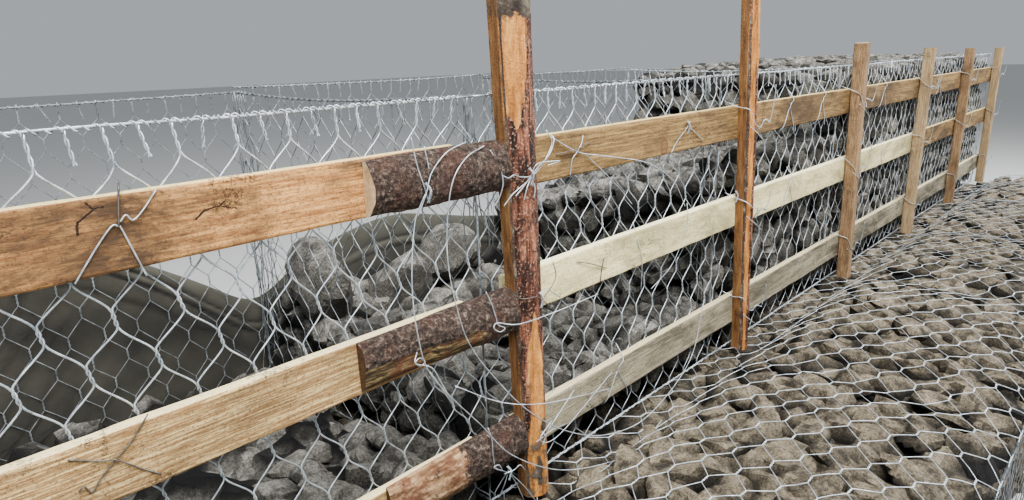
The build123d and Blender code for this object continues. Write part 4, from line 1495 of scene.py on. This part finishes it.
on_slabs = {
    "top_pair_outer": [(411, 137, 0.005), (417, 165, 0.011), (424, 186, 0.017), (428, 200, 0.019)],
    "top_pair_inner": [
        (424, 146, 0.005), (429, 170, 0.009), (428, 186, 0.017), (424, 200, 0.021), (418, 216, 0.015),
    ],
    "long_outer": [
        (466, 142, 0.0), (447, 152, 0.008), (432, 172, 0.014), (427, 190, 0.018), (421, 204, 0.018),
        (415, 222, 0.01), (412, 262, 0.02), (413, 300, 0.03), (418, 336, 0.03), (428, 370, 0.03),
        (452, 398, 0.03), (480, 424, 0.02), (512, 455, 0.03), (560, 470, 0.05), (610, 462, 0.06),
        (640, 446, 0.05), (662, 420, 0.04),
    ],
    "long_inner": [
        (484, 146, 0.0), (466, 158, 0.012), (452, 184, 0.02), (447, 230, 0.02), (449, 270, 0.03),
        (458, 312, 0.03), (470, 345, 0.03), (495, 378, 0.03), (530, 412, 0.04), (570, 432, 0.04),
        (610, 434, 0.05), (650, 414, 0.05), (690, 360, 0.04), (704, 300, 0.03),
    ],
    "top_right_hoop": [
        (490, 150, 0.005), (499, 165, 0.011), (503, 182, 0.015), (500, 196, 0.011), (494, 207, 0.005),
    ],
    "middle_eye": [
        (486, 292, 0.005), (492, 305, 0.011), (496, 318, 0.013), (498, 325, 0.013), (505, 328, 0.019),
        (500, 332, 0.023), (494, 328, 0.023), (498, 323, 0.023), (520, 324, 0.055), (560, 310, 0.065),
        (598, 294, 0.035),
    ],
    "middle_knot": [
        (417, 352, 0.006), (415, 362, 0.012), (420, 366, 0.014), (425, 362, 0.014), (420, 358, 0.016),
        (416, 364, 0.016), (432, 368, 0.02), (442, 384, 0.02), (452, 402, 0.02),
    ],
    "bottom_eye": [
        (488, 428, 0.005), (492, 440, 0.013), (493, 455, 0.015), (496, 468, 0.015), (502, 470, 0.019),
        (499, 465, 0.021), (494, 468, 0.021), (506, 472, 0.02), (512, 476, 0.02),
    ],
    "bottom_tail_long": [(508, 471, 0.02), (516, 483, 0.02), (524, 500, 0.015)],
    "bottom_tail_right": [(508, 471, 0.022), (524, 486, 0.03), (536, 501, 0.03)],
    "bottom_tail_left": [(508, 471, 0.02), (505, 483, 0.012), (500, 495, 0.0)],
    "bottom_tail_up": [(504, 474, 0.02), (514, 470, 0.03), (520, 465, 0.034), (525, 470, 0.034)],
    "level_sweep": [
        (455, 386, 0.01), (500, 402, 0.03), (540, 404, 0.055), (580, 396, 0.05), (612, 388, 0.03),
    ],
    "short_stroke": [(430, 372, 0.02), (444, 392, 0.02), (452, 404, 0.02)],
    "board_stroke": [(612, 372, 0.02), (560, 434, 0.05), (540, 440, 0.06), (552, 420, 0.06)],
}
on_thick_post = {
    "knot_feed": [
        (503, 176, 0.004), (509, 178, 0.006), (514, 175, 0.008), (521, 177, 0.008), (531, 176, 0.01),
        (538, 170, 0.012), (546, 158, 0.012), (552, 142, 0.01), (546, 130, 0.0),
    ],
    "knot_rise": [(531, 176, 0.01), (540, 165, 0.014), (549, 155, 0.014), (554, 140, 0.012), (550, 134, 0.0)],
    "knot_loop": [(531, 176, 0.01), (536, 165, 0.016), (545, 162, 0.02), (560, 161, 0.02), (548, 165, 0.02)],
    "knot_leg_left": [(531, 176, 0.01), (524, 186, 0.014), (516, 196, 0.016)],
    "knot_leg_middle": [(531, 177, 0.01), (527, 188, 0.016), (524, 200, 0.012)],
    "knot_leg_right": [(531, 177, 0.01), (535, 188, 0.014), (534, 198, 0.014)],
    "knot_from_slab": [(504, 206, 0.0), (512, 195, 0.006), (522, 186, 0.01), (531, 178, 0.01)],
    "middle_turn": [(540, 294, 0.008), (548, 290, 0.01), (560, 297, 0.004)],
    "foot_turn": [(536, 442, 0.008), (543, 437, 0.01), (552, 430, 0.01), (566, 424, 0.0)],
    "foot_rise": [(548, 430, 0.008), (558, 415, 0.01), (574, 390, 0.004)],
}
steel_on_rails = {
    "lower_slant": [
        (148, 414, 0.001), (132, 440, 0.002), (114, 462, 0.002), (100, 480, 0.002),
        (92, 492, 0.002), (84, 487, 0.003), (79, 492, 0.003),
    ],
    "lower_cross": [
        (68, 460, 0.001), (100, 461, 0.002), (116, 460, 0.004), (140, 468, 0.002), (161, 474, 0.001),
    ],
    "left_stem": [(118.6, 183, -0.02), (118.6, 187, 0.001), (118.4, 205, 0.002), (118.6, 226, 0.004)],
    "middle_board_upright": [(604, 258, 0.002), (602, 268, 0.004), (600, 283, 0.001)],
    "middle_board_level": [(578, 262, 0.002), (592, 264, 0.006), (606, 268, 0.002)],
    "top_board_stroke": [(556, 154, 0.002), (575, 150, 0.01), (590, 142, 0.004)],
}
steel_on_thick_post = {
    "middle_turn": [
        (503, 286, 0.0), (512, 293, 0.006), (522, 299, 0.008), (536, 297, 0.008), (542, 300, 0.008),
        (550, 306, 0.004),
    ],
    "beside_post": [(553, 262, 0.01), (556, 275, 0.012), (552, 286, 0.012), (544, 297, 0.008)],
}
knot_spots = {
    "top_slab": (428, 192, slab_y - 0.024),
    "thick_post_top": (531, 176, post_y - 0.01),
    "thick_post_middle": (541, 299, post_y - 0.008),
    "thick_post_foot": (543, 437, post_y - 0.01),
    "bottom_slab": (509, 472, slab_y - 0.022),
    "top_board": (688, 127, rail_y - 0.003),
    "thin_post_top": (736, 196, post_y - 0.008),
}
ties = routed(on_rails, rail_y) + routed(on_slabs, slab_y) + routed(on_thick_post, post_y)
for number in range(3, 8):
    for rail in ("top", "middle", "bottom"):
        ties += post_tie(f"post_{number}", f"{rail}_board_{2 if number < 5 else 3}", number < 5)
for x, plank, lean in (
    (-1.55, "bottom_board_2", 0.05),
    (-0.55, "top_board_2", 0.05),
    (-0.25, "top_board_2", 0.04),
    (-0.5, "middle_board_2", 0.045),
    (0.5, "top_board_2", 0.05),
    (0.55, "middle_board_2", 0.05),
    (1.5, "top_board_3", 0.05),
):
    ties += rail_tie(x, plank, lean)
knot_line = ((-0.004, 0, 0.016), (0.003, -0.004, 0.002), (-0.002, -0.002, -0.018))
for x, y, plane_y in knot_spots.values():
    ties += twisted_pair([seen_at(x, y, plane_y) + step for step in knot_line], 5)
wire_piece("tie_wires", ties)

old_steel = zinc("old_steel", (128, 124, 118), (74, 70, 66), 0.4)
steel_ties = routed(steel_on_rails, rail_y, 5) + routed(steel_on_thick_post, post_y, 5)
wire_piece("steel_tie_wires", steel_ties, finish=old_steel)


# Geotextile: grey-green needle-punched felt, cut from a roll and stood behind the back mesh to
# keep earth out of the stone. Its top is folded over in soft rolls and droops at the first seam
felt_low, felt_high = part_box("geotextile_sheet")
felt_across = 104
felt_up = 62
felt_back = felt_low.y + 0.028
x = np.linspace(felt_low.x + 0.01, felt_high.x - 0.01, felt_across)
share = 1 - (1 - np.linspace(0, 1, felt_up)) ** 1.35


def felt_top(x):
    """Height of the sheet's top edge above the ledge, by smooth blending between a few heights."""
    places = (-3.0, -2.62, -2.45, -2.30, -2.17, -2.03, -1.98, -1.85, -1.72, -1.55, -1.42, -1.08, -0.65)
    heights = (0.60, 0.63, 0.54, 0.44, 0.355, 0.25, 0.26, 0.34, 0.39, 0.425, 0.427, 0.352, 0.28)
    near = [np.interp(x + step, places, heights) for step in np.linspace(-0.05, 0.05, 7)]
    return np.mean(near, 0)


top = felt_top(x)
grid_x = np.repeat(x[:, None], felt_up, 1)
grid_z = lid_z + 0.004 + share[None] * (top[:, None] - 0.004)
below = top[:, None] - (grid_z - lid_z)


def tube(middle, half):
    """A soft roll along the sheet: a half circle across its width, in a distance from the top."""
    return np.sqrt(np.clip(1 - ((below - middle) / half) ** 2, 0, 1))


fullness = 0.7 + 0.3 * relief(triple(grid_x, 0, 0), 0.3, 92)
first_fold = 0.048 + 0.14 * np.clip(grid_x + 2.21, -0.1, 0.25)
second_fold = first_fold + 0.03
first_half = first_fold / 2
rolls = fullness * (0.02 * tube(first_half, first_half + 0.001) + 0.015 * tube(first_fold + 0.015, 0.016))
rolls += fullness * 0.011 * tube(second_fold + 0.032, 0.033)
right_part = np.clip((grid_x + 2.5) / 0.2, 0, 1)
# Painted light on the rolled top of the right part, and painted shade along the two creases below it
band = right_part * np.clip((second_fold - below) / 0.02, 0, 1)
crease = np.exp(-(((below - first_fold) / 0.005) ** 2)) + np.exp(-(((below - second_fold) / 0.006) ** 2))
crease = right_part * crease * np.clip(1.5 - (grid_x + 2.15) / 0.25, 0, 1)
left_side = np.clip((-2.4 - grid_x) / 0.15, 0, 1)
left_wave = 1.5 * relief(triple(grid_x, grid_z, 0), 0.3, 93)
slant = np.sin((grid_z - 1.16 * grid_x) / 0.014 + left_wave)
sag_wave = 2.2 * relief(triple(grid_x, grid_z, 0), 0.45, 90)
sags = 0.5 + 0.5 * np.sin(6.2 * grid_x + 9.0 * grid_z + sag_wave)
slack = relief(triple(grid_x + 0.4 * grid_z, 3 * grid_z, 0), 0.16, 91)
calm = np.clip(below / 0.16, 0, 1)
grid_y = felt_back - rolls - calm * (0.013 * sags + 0.005 * slack + 0.009 * left_side * (1 + slant))
felt_points = triple(grid_x, np.maximum(grid_y, back_y + 0.003), grid_z)

felt_finish, tree, shader, place = new_finish("olive_felt", 0.95)
cloud = noise(tree, place, 6, 5, 0.6)
fibre = noise(tree, place, 420, 3, 0.7)
colour = ramp(tree, cloud, (0.3, (34, 33, 29)), (0.7, (62, 60, 52)))
colour = blend(tree, ramp(tree, fibre, (0.4, 0.0), (0.7, 0.3)), colour, (84, 81, 72))
colour = blend(tree, ramp(tree, noise(tree, place, 18, 4), (0.52, 0.0), (0.72, 0.4)), colour, (52, 42, 33))
# Painted light on the rolls, then painted shade in the creases
colour = blend(tree, times(tree, kept_value(tree, "band"), 0.5), colour, (92, 91, 80))
colour = blend(tree, times(tree, kept_value(tree, "crease"), 0.9), colour, (12, 12, 11))
tree.links.new(colour, shader.inputs["Base Color"])
shader.inputs["Sheen Weight"].default_value = 0.25
raised(tree, shader, plus(tree, fibre, cloud), 0.0008, 0.6)
felt = put_together(
    "geotextile_felt", felt_points.reshape(-1, 3), [grid_squares(felt_across, felt_up)], [felt_finish],
    "geotextile", ["geotextile_sheet"], smooth=True, band=band, crease=np.clip(crease, 0, 1),
)
thickness = felt.modifiers.new("thickness", "SOLIDIFY")
thickness.thickness = 0.0025
thickness.offset = 0.0
